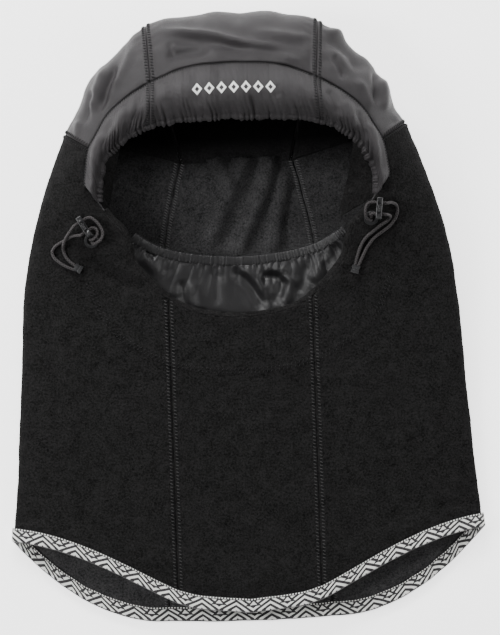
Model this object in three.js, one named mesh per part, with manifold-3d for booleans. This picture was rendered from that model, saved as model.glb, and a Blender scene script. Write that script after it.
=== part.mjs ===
// A fleece balaclava with a nylon crown, lying flat on its back: +Y to the crown, +Z up, millimetres.
// The origin is under the middle of the hood, on the surface that it lies on.
import * as THREE from 'three';
import { mergeVertices } from 'three/addons/utils/BufferGeometryUtils.js';
import Module from 'manifold-3d';

// Overall sizes of the hood, lying flat
const hoodWidth = 302; // side fold to side fold at the hem
const hoodLength = 390; // back hem to the fold of the crown
const brimHeight = 68; // edge of the brim above the surface
const chinHeight = 32; // rim under the chin above the surface
const hemHeight = 14.5; // middle of the front hem above the surface

// Fabrics and what holds them
const fleeceThick = 1.8;
const nylonThick = 0.9;
const facingThick = 1.5;
const maskThick = 0.8;
const liningThick = 1.6;
const gap = 0.3; // clearance between touching pieces
const cordDiameter = 2;
const channelRoom = 0.9; // round the drawcord, in the turned edge of the face opening
const lipRadius = cordDiameter / 2 + facingThick + channelRoom;
const lipReturn = 5; // how far the brim's turned edge runs back underneath
const brimPuff = 10; // rise of the brim between its seam and its edge
const facingWidth = 35; // chin facing, from the rim to its seam
const frontSeam = 46; // from the centre line to each seam of the front panel

// Hem tape
const tapeWidth = 7.6;
const tapeWall = 0.7;

// Mask edge
const casingWidth = 6.4;
const casingWall = 0.5;
const elasticWidth = 4.6;
const elasticThick = 0.8;

// Drawcord, eyelets and end crimps
const cordSides = 8;
const eyeletBore = 2 * cordDiameter + 4 * gap; // two strands side by side
const eyeletWall = 0.5;
const eyeletFlange = 1.6;
const barrelEnd = 0.1; // of an eyelet's barrel, past the inside of the fleece
const crimp = { length: 5, width: 5, height: 3.2 };

// Cord locks
const lockBody = { length: 14, height: 9.6, thickness: 3.6 };
const lockWall = 0.7;
const holeSpacing = 7.2;
const holeDiameter = cordDiameter + 0.7;
const buttonTravel = 1.8; // the strands are free of the button all the way
const buttonHead = { length: 5, proud: 2.2 };
const lockClearance = 1.2; // under the lock

// Where each lock, its eyelet and its strands lie. Free strands are plan points from the middle of the lock;
// the stretch between eyelet and lock is in the lock's own directions: inwards, along the bar, above the holes.
const sides = {
  left: {
    lock: [-98.6, 60.6],
    bar: [0.517, -0.857],
    eyelet: [-94, 51.5],
    inner: {
      upper: [[0.8, 13.1, -1.2], [4.4, 13.0, -0.2], [7.8, 10.2, 0.3], [8.7, 5, 0.4], [8, 0.4, 0.3], [6.3, -2.7, 0.1]],
      lower: [[0.7, 10.2, -1.5], [3.3, 9.8, -0.3], [5.3, 7.8, 0], [5.5, 5.2, 0]],
    },
    free: {
      upper: [[-8.6, -2.6], [-11.9, -7.3], [-13.5, -11], [-13.7, -14.6], [-12.5, -18.6], [-10.2, -21.8], [-7.6, -24.0]],
      lower: [[-7.4, -6], [-12.9, -8.7], [-18.4, -11.9], [-20.8, -15.4], [-20, -18.9], [-17, -22], [-12.6, -25],
        [-8.4, -26.8]],
    },
    over: { strand: 'upper', at: [-12.1, -8.2] },
    crimp: { at: [-4.6, -26.7], turn: -0.55 },
  },
  right: {
    lock: [90.2, 66],
    bar: [-0.115, -0.993],
    eyelet: [84.8, 60.2],
    inner: {
      upper: [[6.9, 7.5, -2.2], [8.4, 4.6, -0.2], [8.6, 0.6, 0.3], [7.4, -2.4, 0.1]],
      lower: [[5.6, 4.9, -2.6], [4.6, 4.1, -0.7]],
    },
    free: {
      upper: [[7.8, 3.4], [11.2, 1.3], [11.6, -2.4], [9.8, -7.2], [6.2, -11.5], [1.4, -15], [-4, -19],
        [-8.1, -24], [-11.2, -29.7], [-13.9, -35.2]],
      lower: [[6.9, -5.3], [5.3, -7.9], [0.8, -10.7], [-4, -14.4], [-9.2, -18.6], [-12.5, -23.8], [-14.7, -29.6],
        [-16.1, -34.8]],
    },
    over: null,
    crimp: { at: [-16.3, -38.4], turn: 1.28 },
  },
};

// The hood's outline is drawn for the size 302 x 390 and graded to the size above.
const wide = hoodWidth / 302;
const long = hoodLength / 390;
const plan = (x, y) => new THREE.Vector3(x * wide, y * long, 0);

// Ribs of the right half, from the middle of the brim round to the front hem:
// inner edge x, y; side fold x, y; back seam x, y.
const ribs = [
  [0, 162.5, 0, 195, 0, 101.4],
  [29, 160.3, 30, 193.2, 18, 101.4],
  [53, 151.3, 55, 187, 36, 101.4], // seam between the crown's centre and side
  [70, 141.5, 76, 169, 43, 103.2],
  [82, 131, 93.5, 150.5, 53, 105.7],
  [89, 119.5, 102, 133, 65, 108.8],
  [94.2, 110.7, 108.3, 119.7, 78, 112], // seam between nylon and fleece
  [96.7, 99, 115.3, 104.5, 37.5, 95],
  [97.5, 87, 121.3, 88.5, 40, 86],
  [93.8, 81, 125, 78, 42, 76],
  [89.2, 75.8, 127.8, 68.5, 44.5, 66], // end of the nylon brim
  [82.2, 65.4, 130.8, 58, 46.5, 56],
  [74.8, 57, 133.3, 48, 48, 46],
  [71.5, 48.5, 135.3, 37, 49, 36],
  [68.3, 37, 137.3, 24, 49.8, 24],
  [59, 24.8, 139, 8, 50.3, 8],
  [frontSeam, 11.8, 140.5, -10, 50.6, -10], // top of the front seam
  [frontSeam, -12, 142, -35, 51, -35],
  [frontSeam, -50, 144, -66, 51.3, -68],
  [frontSeam, -92, 146.3, -96, 51.6, -104],
  [frontSeam, -135, 148.5, -119, 52, -145],
  [frontSeam, -181.3, 150.3, -138.5, 52, -192.3], // hem
];
const crownSeam = 2;
const nylonSeam = 6;
const brimEnd = 10;
const chinCorner = 16;
const hem = 21;
const backTop = [36, 101.4]; // upper corner of the back panel
const hemBow = { front: 30, back: 14.4 };

// Edge of the brim beside each of the first ribs, and the rim under the chin
const brimEdge = [
  [0, 128.4], [29, 127.6], [54.3, 124.4], [68.7, 117.7], [79.2, 109.6], [85.2, 101.5], [87.9, 93], [89.1, 84.5],
  [89.2, 75.8],
];
const brimRoot = 8; // the rib that the brim's seam reaches
const chinRim = [[0, -0.4], [18, 0.8], [34, 4.8], [frontSeam, 11.8]];
const chinHem = [[0, -188.5], [33, -185], [frontSeam, -181.3]];
const backHem = [[0, -193.7], [26, -193.5], [52, -192.3]];
const maskTop = [[0, 38.6], [16, 39.4], [32, 41.5], [47.5, 45.3], [58, 50.4], [66.5, 56]];
const maskSeam = [[0, -33], [24, -31.5], [46, -26], [66, -12], [80, 8], [84, 36]];

// ---------- curves and the shape of the hood ----------

const smoothCurve = (points) => new THREE.CatmullRomCurve3(points, false, 'centripetal');
const mix = (a, b, share) => a + (b - a) * share;
const smooth = (a, b, x) => THREE.MathUtils.smoothstep(x, a, b);

// A smooth function through [x, value] pairs in rising x
function through(pairs) {
  const slope = (i) => {
    const a = pairs[Math.max(i - 1, 0)];
    const b = pairs[Math.min(i + 1, pairs.length - 1)];
    return (b[1] - a[1]) / (b[0] - a[0]);
  };
  return (x) => {
    let i = 0;
    while (i < pairs.length - 2 && x > pairs[i + 1][0]) i += 1;
    const [x0, y0] = pairs[i];
    const [x1, y1] = pairs[i + 1];
    const h = x1 - x0;
    const u = THREE.MathUtils.clamp((x - x0) / h, 0, 1);
    const [a, b] = [slope(i) * h, slope(i + 1) * h];
    return y0 + u * (a + u * (3 * (y1 - y0) - 2 * a - b + u * (a + b - 2 * (y1 - y0))));
  };
}

const column = (k) => smoothCurve(ribs.map((r) => plan(r[k], r[k + 1])));
const upperInner = smoothCurve(ribs.slice(0, chinCorner + 1).map((r) => plan(r[0], r[1])));
const foldCurve = column(2);
const backCurve = smoothCurve(ribs.slice(nylonSeam).map((r, i) => (i ? plan(r[4], r[5]) : plan(...backTop))));

// Inner edge, side fold and back seam of the rib at t, in plan
function innerEdge(t) {
  if (t <= chinCorner) return upperInner.getPoint(t / chinCorner);
  const i = Math.min(Math.floor(t), hem - 1);
  return plan(mix(ribs[i][0], ribs[i + 1][0], t - i), mix(ribs[i][1], ribs[i + 1][1], t - i));
}
const sideFold = (t) => foldCurve.getPoint(t / hem);
const backSeam = (t) => backCurve.getPoint((t - nylonSeam) / (hem - nylonSeam));

// The back edge of the nylon lies along the seam from the side fold to the back panel's corner.
function nylonBack(t) {
  const i = Math.min(Math.floor(t), nylonSeam - 1);
  return plan(mix(ribs[i][4], ribs[i + 1][4], t - i), mix(ribs[i][5], ribs[i + 1][5], t - i) + gap);
}

function halfWidth(y) {
  let [low, high] = [0, hem];
  for (let step = 0; step < 40; step += 1) {
    const middle = (low + high) / 2;
    if (sideFold(middle).y > y) low = middle;
    else high = middle;
  }
  return sideFold((low + high) / 2).x;
}

// Heights down the centre line and along the side fold
const foldHeight = through([[-135, 5], [-100, 6.5], [-54, 9], [0, 13], [30, 18], [60, 23], [88, 27], [120, 30],
  [160, 35], [195, 38]].map(([y, z]) => [y * long, z]));
const crestBelowBrim = through([[-188, hemHeight], [-120, mix(hemHeight, chinHeight, 0.25)],
  [-54, mix(hemHeight, chinHeight, 0.6)], [3, chinHeight], [16, chinHeight + 2.5], [39, chinHeight + 8],
  [60, mix(chinHeight, brimHeight, 0.44)], [77, mix(chinHeight, brimHeight, 0.68)],
  [90, mix(chinHeight, brimHeight, 0.81)], [105, mix(chinHeight, brimHeight, 0.93)], [125, brimHeight],
].map(([y, z]) => [y * long, z]));
const domePower = 2.2;
const dome = (share) => Math.max(0, 1 - Math.min(share, 1) ** domePower) ** (1 / domePower);
const brimLine = 125 * long;

function crest(y) {
  if (y <= brimLine) return crestBelowBrim(y);
  return mix(foldHeight(y), brimHeight, dome((y - brimLine) / (195 * long - brimLine)));
}
function topHeight(x, y) {
  return mix(foldHeight(y), crest(y), dome(Math.abs(x) / Math.max(halfWidth(y), 1e-6)));
}
const onTop = (p, lift = 0) => new THREE.Vector3(p.x, p.y, topHeight(p.x, p.y) + lift);

// The hem tape is thicker than the fabric, so the fabric rises to leave it room underneath.
const hemRise = (t) => (tapeWall + gap) * smooth(hem - 0.75, hem - 0.42, t);

const frontSteps = [0, 0.16, 0.34, 0.52, 0.68, 0.82, 0.93, 1];
const wrapSteps = [0.25, 0.5, 0.75, 1];

// Points of the rib at t, from its inner edge over the side fold to its back edge
function rib(t, back, flatSteps, start = 0) {
  const [inner, fold] = [innerEdge(t), sideFold(t)];
  const late = smooth(hem - 2, hem, t);
  const rise = hemRise(t);
  const points = frontSteps.map((step) => {
    const share = Math.sin((mix(start, 1, step) * Math.PI) / 2);
    const p = inner.clone().lerp(fold, share);
    p.y += late * hemBow.front * share ** 1.5 * (1 - share);
    p.z = (step < 1 ? topHeight(p.x, p.y) : foldHeight(fold.y)) + rise;
    return p;
  });
  const reach = back.distanceTo(fold);
  const towards = back.clone().sub(fold).normalize();
  const high = foldHeight(fold.y);
  const round = Math.min(high * 0.9, reach * 0.8);
  const place = (distance, z) => {
    const share = distance / reach;
    const p = fold.clone().addScaledVector(towards, distance);
    p.y -= late * hemBow.back * 4 * share * (1 - share);
    p.z = z + rise;
    return p;
  };
  for (const step of wrapSteps) {
    const angle = (step * Math.PI) / 2;
    points.push(place(round * (1 - Math.cos(angle)), step < 1 ? high * (1 - Math.sin(angle)) : 0));
  }
  for (let i = 1; i <= flatSteps; i += 1) points.push(place(mix(round, reach, i / flatSteps), 0));
  return points;
}

// Evenly spaced values from a to b
const range = (a, b, steps) => Array.from({ length: steps + 1 }, (_, i) => mix(a, b, i / steps));

// ---------- solids ----------

function solid(positions, index) {
  const geometry = new THREE.BufferGeometry();
  geometry.setAttribute('position', new THREE.Float32BufferAttribute(positions.flatMap((p) => [p.x, p.y, p.z]), 3));
  let volume = 0;
  for (let i = 0; i < index.length; i += 3) {
    const [a, b, c] = index.slice(i, i + 3).map((k) => positions[k]);
    volume += a.dot(b.clone().cross(c));
  }
  geometry.setIndex(volume < 0 ? index.slice().reverse() : index);
  return geometry;
}

// A sheet of fabric: rows of points on its outer face, given a thickness on the side away from rows x columns
function sheet(rows, thickness) {
  const [n, m] = [rows.length, rows[0].length];
  const at = (i, j) => rows[THREE.MathUtils.clamp(i, 0, n - 1)][THREE.MathUtils.clamp(j, 0, m - 1)];
  const positions = [];
  for (const depth of [0, thickness]) {
    for (let i = 0; i < n; i += 1) {
      for (let j = 0; j < m; j += 1) {
        const down = at(i + 1, j).clone().sub(at(i - 1, j));
        const across = at(i, j + 1).clone().sub(at(i, j - 1));
        positions.push(at(i, j).clone().addScaledVector(down.cross(across).normalize(), -depth));
      }
    }
  }
  const id = (layer, [i, j]) => (layer * n + i) * m + j;
  const index = [];
  const quad = (a, b, c, d) => index.push(a, b, c, a, c, d);
  for (let i = 0; i < n - 1; i += 1) {
    for (let j = 0; j < m - 1; j += 1) {
      const corners = [[i, j], [i + 1, j], [i + 1, j + 1], [i, j + 1]];
      quad(...corners.map((c) => id(0, c)));
      quad(...corners.reverse().map((c) => id(1, c)));
    }
  }
  const border = [];
  for (let i = 0; i < n - 1; i += 1) border.push([i, 0]);
  for (let j = 0; j < m - 1; j += 1) border.push([n - 1, j]);
  for (let i = n - 1; i > 0; i -= 1) border.push([i, m - 1]);
  for (let j = m - 1; j > 0; j -= 1) border.push([0, j]);
  border.forEach((p, k) => {
    const q = border[(k + 1) % border.length];
    quad(id(0, q), id(0, p), id(1, p), id(1, q));
  });
  return solid(positions, index);
}

// A closed section carried along frames of { at, across, up }
function strip(section, frames) {
  const positions = frames.flatMap(({ at, across, up }) => section.map(
    ([a, b]) => at.clone().addScaledVector(across, a).addScaledVector(up, b),
  ));
  const k = section.length;
  const index = [];
  for (let i = 0; i < frames.length - 1; i += 1) {
    for (let j = 0; j < k; j += 1) {
      const [a, b] = [i * k + j, i * k + ((j + 1) % k)];
      index.push(a, b, b + k, a, b + k, a + k);
    }
  }
  const caps = THREE.ShapeUtils.triangulateShape(section.map(([a, b]) => new THREE.Vector2(a, b)), []);
  const last = (frames.length - 1) * k;
  const clockwise = THREE.ShapeUtils.isClockWise(section.map(([a, b]) => new THREE.Vector2(a, b)));
  for (const [a, b, c] of caps) {
    if (clockwise) index.push(a, b, c, last + c, last + b, last + a);
    else index.push(c, b, a, last + a, last + b, last + c);
  }
  return solid(positions, index);
}

function mirrored(geometry) {
  const copy = geometry.clone().scale(-1, 1, 1);
  if (copy.index) copy.setIndex(Array.from(copy.index.array).reverse());
  return copy;
}

const wasm = await Module();
wasm.setup();

function toManifold(geometry) {
  const bare = geometry.clone();
  bare.deleteAttribute('normal');
  bare.deleteAttribute('uv');
  const merged = mergeVertices(bare, 1e-5);
  return new wasm.Manifold(new wasm.Mesh({
    numProp: 3,
    vertProperties: new Float32Array(merged.attributes.position.array),
    triVerts: new Uint32Array(merged.index.array),
  }));
}

function fromManifold(manifold) {
  const { vertProperties, triVerts } = manifold.getMesh();
  const geometry = new THREE.BufferGeometry();
  geometry.setAttribute('position', new THREE.BufferAttribute(new Float32Array(vertProperties), 3));
  geometry.setIndex(new THREE.BufferAttribute(new Uint32Array(triVerts), 1));
  return geometry;
}

const cut = (body, ...tools) => fromManifold(tools.reduce((rest, t) => rest.subtract(toManifold(t)), toManifold(body)));

// ---------- materials and the group ----------

const colours = {
  nylon: [0x4d4a4d, 0.55],
  fleece: [0x1b1b1b, 0.95],
  lining: [0x262628, 0.95],
  stretch: [0x38363a, 0.6],
  tape: [0x8c8a88, 0.85],
  cord: [0x69626a, 0.7],
  plastic: [0x1c1c1e, 0.35],
  steel: [0xb8bac0, 0.35],
  elastic: [0x2a2a2c, 0.8],
};
const balaclava = new THREE.Group();

function add(name, geometry, finish) {
  const [color, roughness] = colours[finish];
  const metalness = finish === 'steel' ? 1 : 0;
  const mesh = new THREE.Mesh(geometry, new THREE.MeshStandardMaterial({ color, roughness, metalness }));
  mesh.name = name;
  balaclava.add(mesh);
  return mesh;
}
function addPair(name, geometry, finish) {
  add(`${name}_right`, geometry, finish);
  add(`${name}_left`, mirrored(geometry), finish);
}

// ---------- crown, lining and side panels ----------

const seamStep = (t, size = gap / 2) => size / innerEdge(t).distanceTo(innerEdge(t + 0.02)) * 0.02;

function crownRows(from, to, steps, flatSteps, start) {
  return range(from, to, steps).map((t) => {
    const points = rib(Math.abs(t), nylonBack(Math.abs(t)), flatSteps, start);
    return t < 0 ? points.map((p) => new THREE.Vector3(-p.x, p.y, p.z)) : points;
  });
}

// Moves a grid of points inwards by a depth, along the same normals that sheet() uses
function inset(rows, depth) {
  const [n, m] = [rows.length, rows[0].length];
  const at = (i, j) => rows[THREE.MathUtils.clamp(i, 0, n - 1)][THREE.MathUtils.clamp(j, 0, m - 1)];
  return rows.map((row, i) => row.map((p, j) => {
    const down = at(i + 1, j).clone().sub(at(i - 1, j));
    const across = at(i, j + 1).clone().sub(at(i, j - 1));
    return p.clone().addScaledVector(down.cross(across).normalize(), -depth);
  }));
}

const flip = (rows) => rows.map((row) => row.slice().reverse());
const centreEdge = crownSeam - seamStep(crownSeam);
const crownFrom = crownSeam + seamStep(crownSeam);
const crownTo = nylonSeam - seamStep(nylonSeam);
const fromBrim = 0.02; // leaves the seam with the brim clear
add('crown_centre_panel', sheet(crownRows(-centreEdge, centreEdge, 8, 3, fromBrim), nylonThick), 'nylon');
addPair('crown_panel', sheet(crownRows(crownFrom, crownTo, 7, 3, fromBrim), nylonThick), 'nylon');

// The lining lies under the nylon, and starts past the end of the brim's facing.
const liningShort = 0.45; // how far its ends stop short, as a share of the last row
function liningRows(from, to, steps) {
  const rows = inset(crownRows(from, to, steps, 3, fromBrim), nylonThick + gap).map((row) => row.slice(1));
  for (const [end, next] of [[0, 1], [rows.length - 1, rows.length - 2]]) {
    rows[end].forEach((p, i) => p.lerp(rows[next][i], liningShort));
  }
  return rows;
}
add('crown_lining_centre', sheet(liningRows(-centreEdge, centreEdge, 8), liningThick), 'lining');
addPair('crown_lining', sheet(liningRows(crownFrom, crownTo, 7), liningThick), 'lining');

// Side panels run from the brim, the rim or the front seam round to the back seam.
const sideRows = [
  ...range(nylonSeam + seamStep(nylonSeam), brimRoot, 2), 9, brimEnd, 11, 12, 13, 14, 15,
  ...range(chinCorner, hem - 1, 4), hem - 0.75, hem - 0.4, hem,
].map((t) => {
  const back = backSeam(t).add(new THREE.Vector3(gap / 2, -gap * smooth(nylonSeam + 1, nylonSeam, t), 0));
  const points = rib(t, back, 4);
  const away = points[1].clone().sub(points[0]).setZ(0).normalize();
  points[0].addScaledVector(away, gap);
  points[0].z = topHeight(points[0].x, points[0].y) + hemRise(t);
  return points;
});
const sidePanel = sheet(sideRows, fleeceThick);

// ---------- front and back panels of the neck ----------

const evenAbout = (pairs) => {
  const f = through(pairs.map(([x, y]) => [x * wide, y * long]));
  return (x) => f(Math.abs(x));
};
const rimY = evenAbout(chinRim);
const hemY = evenAbout(chinHem);
const backHemY = evenAbout(backHem);
const frontHalf = frontSeam * wide - gap / 2;
const hemTail = [0.9, 0.935, 1];

const frontRows = [...range(0, 0.85, 7), ...hemTail].map((share) => range(-frontHalf, frontHalf, 8).map((x) => {
  const y = mix(rimY(x) - gap, hemY(x), share);
  return new THREE.Vector3(x, y, topHeight(x, y) + hemRise(hem - (1 - share) * 4));
}));
add('neck_front_panel', sheet(frontRows, fleeceThick), 'fleece');

const backRows = [...range(nylonSeam, hem - 1, 8), hem - 0.75, hem - 0.4, hem].map((t) => {
  const edge = backSeam(t);
  const half = edge.x - gap / 2;
  const drop = smooth(hem - 1, hem, t);
  return range(half, -half, 6).map((x) => {
    const y = edge.y - gap * smooth(nylonSeam + 0.5, nylonSeam, t) + drop * (backHemY(x) - backHemY(edge.x));
    return new THREE.Vector3(x, y, hemRise(t));
  });
});
add('neck_back_panel', sheet(backRows, fleeceThick), 'fleece');

// ---------- brim ----------

const edgeCurve = smoothCurve(brimEdge.map(([x, y]) => plan(x, y)));
const openingCentre = plan(0, 70);

// A point of the turned edge: where it starts, and which way leads away from the opening
function edgeFrame(curve, share) {
  const at = curve.getPoint(share);
  const tangent = curve.getTangent(share);
  const away = new THREE.Vector3(tangent.y, -tangent.x, 0).normalize();
  if (away.dot(at.clone().sub(openingCentre)) < 0) away.negate();
  return { at, away };
}
const up = new THREE.Vector3(0, 0, 1);

// Turned edge: over the top, round the rim and underneath, from angle a to angle b
function lip({ at, away }, a, b, steps) {
  const centre = onTop(at, -lipRadius);
  return range(a, b, steps).map((angle) => centre.clone()
    .addScaledVector(away, -Math.sin(angle) * lipRadius)
    .addScaledVector(up, Math.cos(angle) * lipRadius));
}

function brimRow(t) {
  const side = t < 0 ? -1 : 1;
  const share = Math.abs(t) / brimRoot;
  const frame = edgeFrame(edgeCurve, share);
  const root = innerEdge(Math.abs(t));
  root.lerp(frame.at, gap / root.distanceTo(frame.at));
  const row = range(0, 0.85, 4).map((w) => {
    const p = root.clone().lerp(frame.at, w);
    return onTop(p, brimPuff * mix(1, 0.45, share) * Math.sin(Math.PI * w) ** 0.9);
  });
  row.push(...lip(frame, 0, Math.PI, 5));
  row.push(row.at(-1).clone().addScaledVector(frame.away, lipReturn));
  return row.map((p) => new THREE.Vector3(p.x * side, p.y, p.z));
}
const seamSlack = 0.012; // half the gap between brim pieces, in ribs
const brimTip = brimRoot - 0.03;
const centreSpan = crownSeam - seamSlack;
add('brim_centre', sheet(flip(range(-centreSpan, centreSpan, 8).map(brimRow)), nylonThick), 'nylon');
addPair('brim', sheet(flip(range(crownSeam + seamSlack, brimTip, 10).map(brimRow)), nylonThick), 'nylon');

// Facing under the brim, from the end of the turned edge back to the seam
const facingStop = 5.28 - 1.2 * lipRadius; // from its edge to the seam: less beside a wider turned edge
const facingSpan = brimRoot - 0.8;
function brimFacingRow(t) {
  const side = t < 0 ? -1 : 1;
  const frame = edgeFrame(edgeCurve, Math.abs(t) / brimRoot);
  const root = innerEdge(Math.abs(t));
  const low = onTop(frame.at, -2 * lipRadius);
  const start = low.clone().addScaledVector(frame.away, lipReturn + 2 * gap);
  const end = onTop(root, -nylonThick - gap - facingThick);
  end.addScaledVector(frame.away, -facingStop);
  return range(0, 1, 3).map((w) => {
    const p = start.clone().lerp(end, w);
    p.x *= side;
    return p;
  });
}
add('brim_facing', sheet(flip(range(-facingSpan, facingSpan, 22).map(brimFacingRow)), facingThick), 'lining');

// ---------- chin facing ----------

const rimPoints = [...ribs.slice(brimEnd, chinCorner + 1).map((r) => [r[0], r[1]]), ...chinRim.slice(0, 3).reverse()];
const rimCurve = smoothCurve([...rimPoints, ...rimPoints.slice(0, -1).reverse().map(([x, y]) => [-x, y])]
  .map(([x, y]) => plan(x, y)));
const rimStations = range(0.05, 0.95, 22);

const facingDepth = fleeceThick + 3 * gap + facingThick; // of the facing's inner face at its seam

const lipStart = 0.5; // angle where the facing's turned edge starts, clear of the cut edge of the fleece

function chinFacingRow(share) {
  const frame = edgeFrame(rimCurve, share);
  const low = smooth(0, 0.22, Math.min(share, 1 - share));
  const width = mix(8, facingWidth, low);
  const endDepth = mix(2 * lipRadius, facingDepth, smooth(0.12, 0.3, Math.min(share, 1 - share)));
  const row = lip(frame, lipStart, Math.PI, 5);
  for (const w of [0.2, 0.5, 1]) {
    const p = frame.at.clone().addScaledVector(frame.away, w * width);
    row.push(onTop(p, -mix(2 * lipRadius, endDepth, w)));
  }
  return row;
}
add('chin_facing', sheet(flip(rimStations.map(chinFacingRow)), facingThick), 'fleece');

// ---------- mask ----------

const mirrorLine = (points) => smoothCurve([...points.slice(1).reverse().map(([x, y]) => [-x, y]), ...points]
  .map(([x, y]) => plan(x, y)));
const maskTopCurve = mirrorLine(maskTop);
const maskSeamCurve = mirrorLine(maskSeam);
const maskDepth = facingDepth + 2 * gap; // of the mask's seam under the front
const casingEnd = chinHeight + 7.8 - 2 * lipRadius; // under the turned edge at both ends
const casingHeight = (share) => mix(chinHeight - 12, casingEnd, Math.abs(2 * share - 1) ** 2.4);

// A point of the mask, from its casing (0) to the seam under the chin (1)
function maskPoint(share, down) {
  const top = maskTopCurve.getPoint(share);
  const outer = smooth(0.4, 0.75, Math.abs(2 * share - 1));
  const low = onTop(maskSeamCurve.getPoint(share), -mix(maskDepth, 2 * lipRadius + 4 * gap, outer));
  const p = top.clone().lerp(low, down);
  p.z = mix(casingHeight(share), low.z, down ** 3);
  return p;
}
const maskLength = (share) => maskPoint(share, 0).distanceTo(maskPoint(share, 1));
const maskShares = range(0.01, 0.99, 14);
const maskRows = maskShares.map((share) => range((casingWidth + gap) / maskLength(share), 1, 6)
  .map((down) => maskPoint(share, down)));
add('mask_panel', sheet(flip(maskRows), maskThick), 'stretch');

const maskFrames = maskShares.map((share) => {
  const at = maskPoint(share, 0);
  const across = maskPoint(share, 0.12).sub(at).normalize();
  const along = maskTopCurve.getTangent(share);
  return { at, across, up: across.clone().cross(along).normalize() };
});
const inside = elasticThick + 2 * gap;
const fold = inside + 2 * casingWall;
// The casing is folded over the elastic, and open along its lower edge.
add('mask_casing', strip([
  [0, 0], [casingWidth, 0], [casingWidth, -casingWall], [casingWall, -casingWall],
  [casingWall, casingWall - fold], [casingWidth, casingWall - fold], [casingWidth, -fold], [0, -fold],
], maskFrames), 'stretch');
const elasticEdge = casingWall + gap;
const elasticTop = -casingWall - gap;
add('mask_elastic', strip([
  [elasticEdge, elasticTop], [elasticEdge + elasticWidth, elasticTop],
  [elasticEdge + elasticWidth, elasticTop - elasticThick], [elasticEdge, elasticTop - elasticThick],
], maskFrames), 'elastic');

// ---------- hem tape ----------

// The tape is folded round the hem: across leads from the edge into the fabric, and up is the outer side.
const tapeSection = (() => {
  const [out, inner] = [gap, -fleeceThick - gap];
  return [
    [tapeWidth, out], [-gap, out], [-gap, inner], [tapeWidth, inner], [tapeWidth, inner - tapeWall],
    [-gap - tapeWall, inner - tapeWall], [-gap - tapeWall, out + tapeWall], [tapeWidth, out + tapeWall],
  ];
})();

// Frames along a line of hem points, with the next line of the fabric beside it
function hemFrames(edge, beside) {
  return edge.map((at, i) => {
    const across = beside[i].clone().sub(at);
    const along = edge[Math.min(i + 1, edge.length - 1)].clone().sub(edge[Math.max(i - 1, 0)]);
    const outward = along.clone().cross(across).normalize();
    return { at, across: across.normalize(), up: outward };
  });
}
const mirrorPoint = (p) => new THREE.Vector3(-p.x, p.y, p.z);
const [besideHem, hemRow] = sideRows.slice(-2);
const frontCount = frontSteps.length;

// A line across the hood from the left to the right: a stretch of a side panel, the middle panel, the other side
function acrossHood(row, middle, from, to) {
  const side = row.slice(from, to).sort((a, b) => a.x - b.x);
  const inner = middle.slice().sort((a, b) => a.x - b.x);
  return [...side.slice().reverse().map(mirrorPoint), ...inner, ...side].map((p) => p.clone());
}
const tapeGap = 0.4; // between the front and back tapes at the side folds
function tape(middle, besideMiddle, from, to, outer) {
  const frames = hemFrames(acrossHood(hemRow, middle, from, to), acrossHood(besideHem, besideMiddle, from, to));
  if (!outer) frames.forEach((f) => f.up.negate());
  for (const [end, next] of [[0, 1], [frames.length - 1, frames.length - 2]]) {
    const step = frames[next].at.clone().sub(frames[end].at);
    frames[end].at.addScaledVector(step.normalize(), tapeGap);
  }
  return strip(tapeSection, frames);
}
add('hem_binding_front', tape(frontRows.at(-1), frontRows.at(-2), 1, frontCount, true), 'tape');
add('hem_binding_back', tape(backRows.at(-1), backRows.at(-2), frontCount, hemRow.length - 1, false), 'tape');

// ---------- cords ----------

const cordRadius = cordDiameter / 2;
const strandRise = cordRadius + 1.5 * gap; // of a strand's middle above the fabric it lies on
const cordPair = (cordDiameter + gap) / 2; // of each strand from the middle of its eyelet
const straightThrough = [3.6, 1.6, -0.6, -2.8, -4.6]; // stretch of a strand that its lock slides along

function cord(points, steps) {
  const section = new THREE.Shape(range(0, 1, cordSides).slice(0, -1).map((turn) => new THREE.Vector2(
    Math.cos(turn * 2 * Math.PI) * cordRadius, Math.sin(turn * 2 * Math.PI) * cordRadius,
  )));
  return new THREE.ExtrudeGeometry(section, { steps, extrudePath: smoothCurve(points), curveSegments: 1 });
}

// The frame of one lock: its middle in plan, the direction along its bar and the direction inwards
function lockFrame(side) {
  const { lock, bar, eyelet } = sides[side];
  const along = new THREE.Vector3(...bar, 0).normalize();
  const middle = plan(...lock);
  const inwards = new THREE.Vector3(-along.y, along.x, 0);
  if (side === 'right') inwards.set(along.y, -along.x, 0);
  const eye = onTop(middle.clone().add(new THREE.Vector3(eyelet[0] - lock[0], eyelet[1] - lock[1], 0)));
  const ends = [-0.5, 0.5].map((share) => onTop(middle.clone().addScaledVector(along, share * lockBody.length)).z);
  middle.z = Math.max(...ends) + lockClearance + lockBody.height / 2;
  const step = (dx, dy) => onTop(eye.clone().add(new THREE.Vector3(dx, dy, 0)));
  const normal = step(1, 0).sub(step(-1, 0)).cross(step(0, 1).sub(step(0, -1))).normalize();
  return { along, inwards, middle, eye, normal };
}

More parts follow.
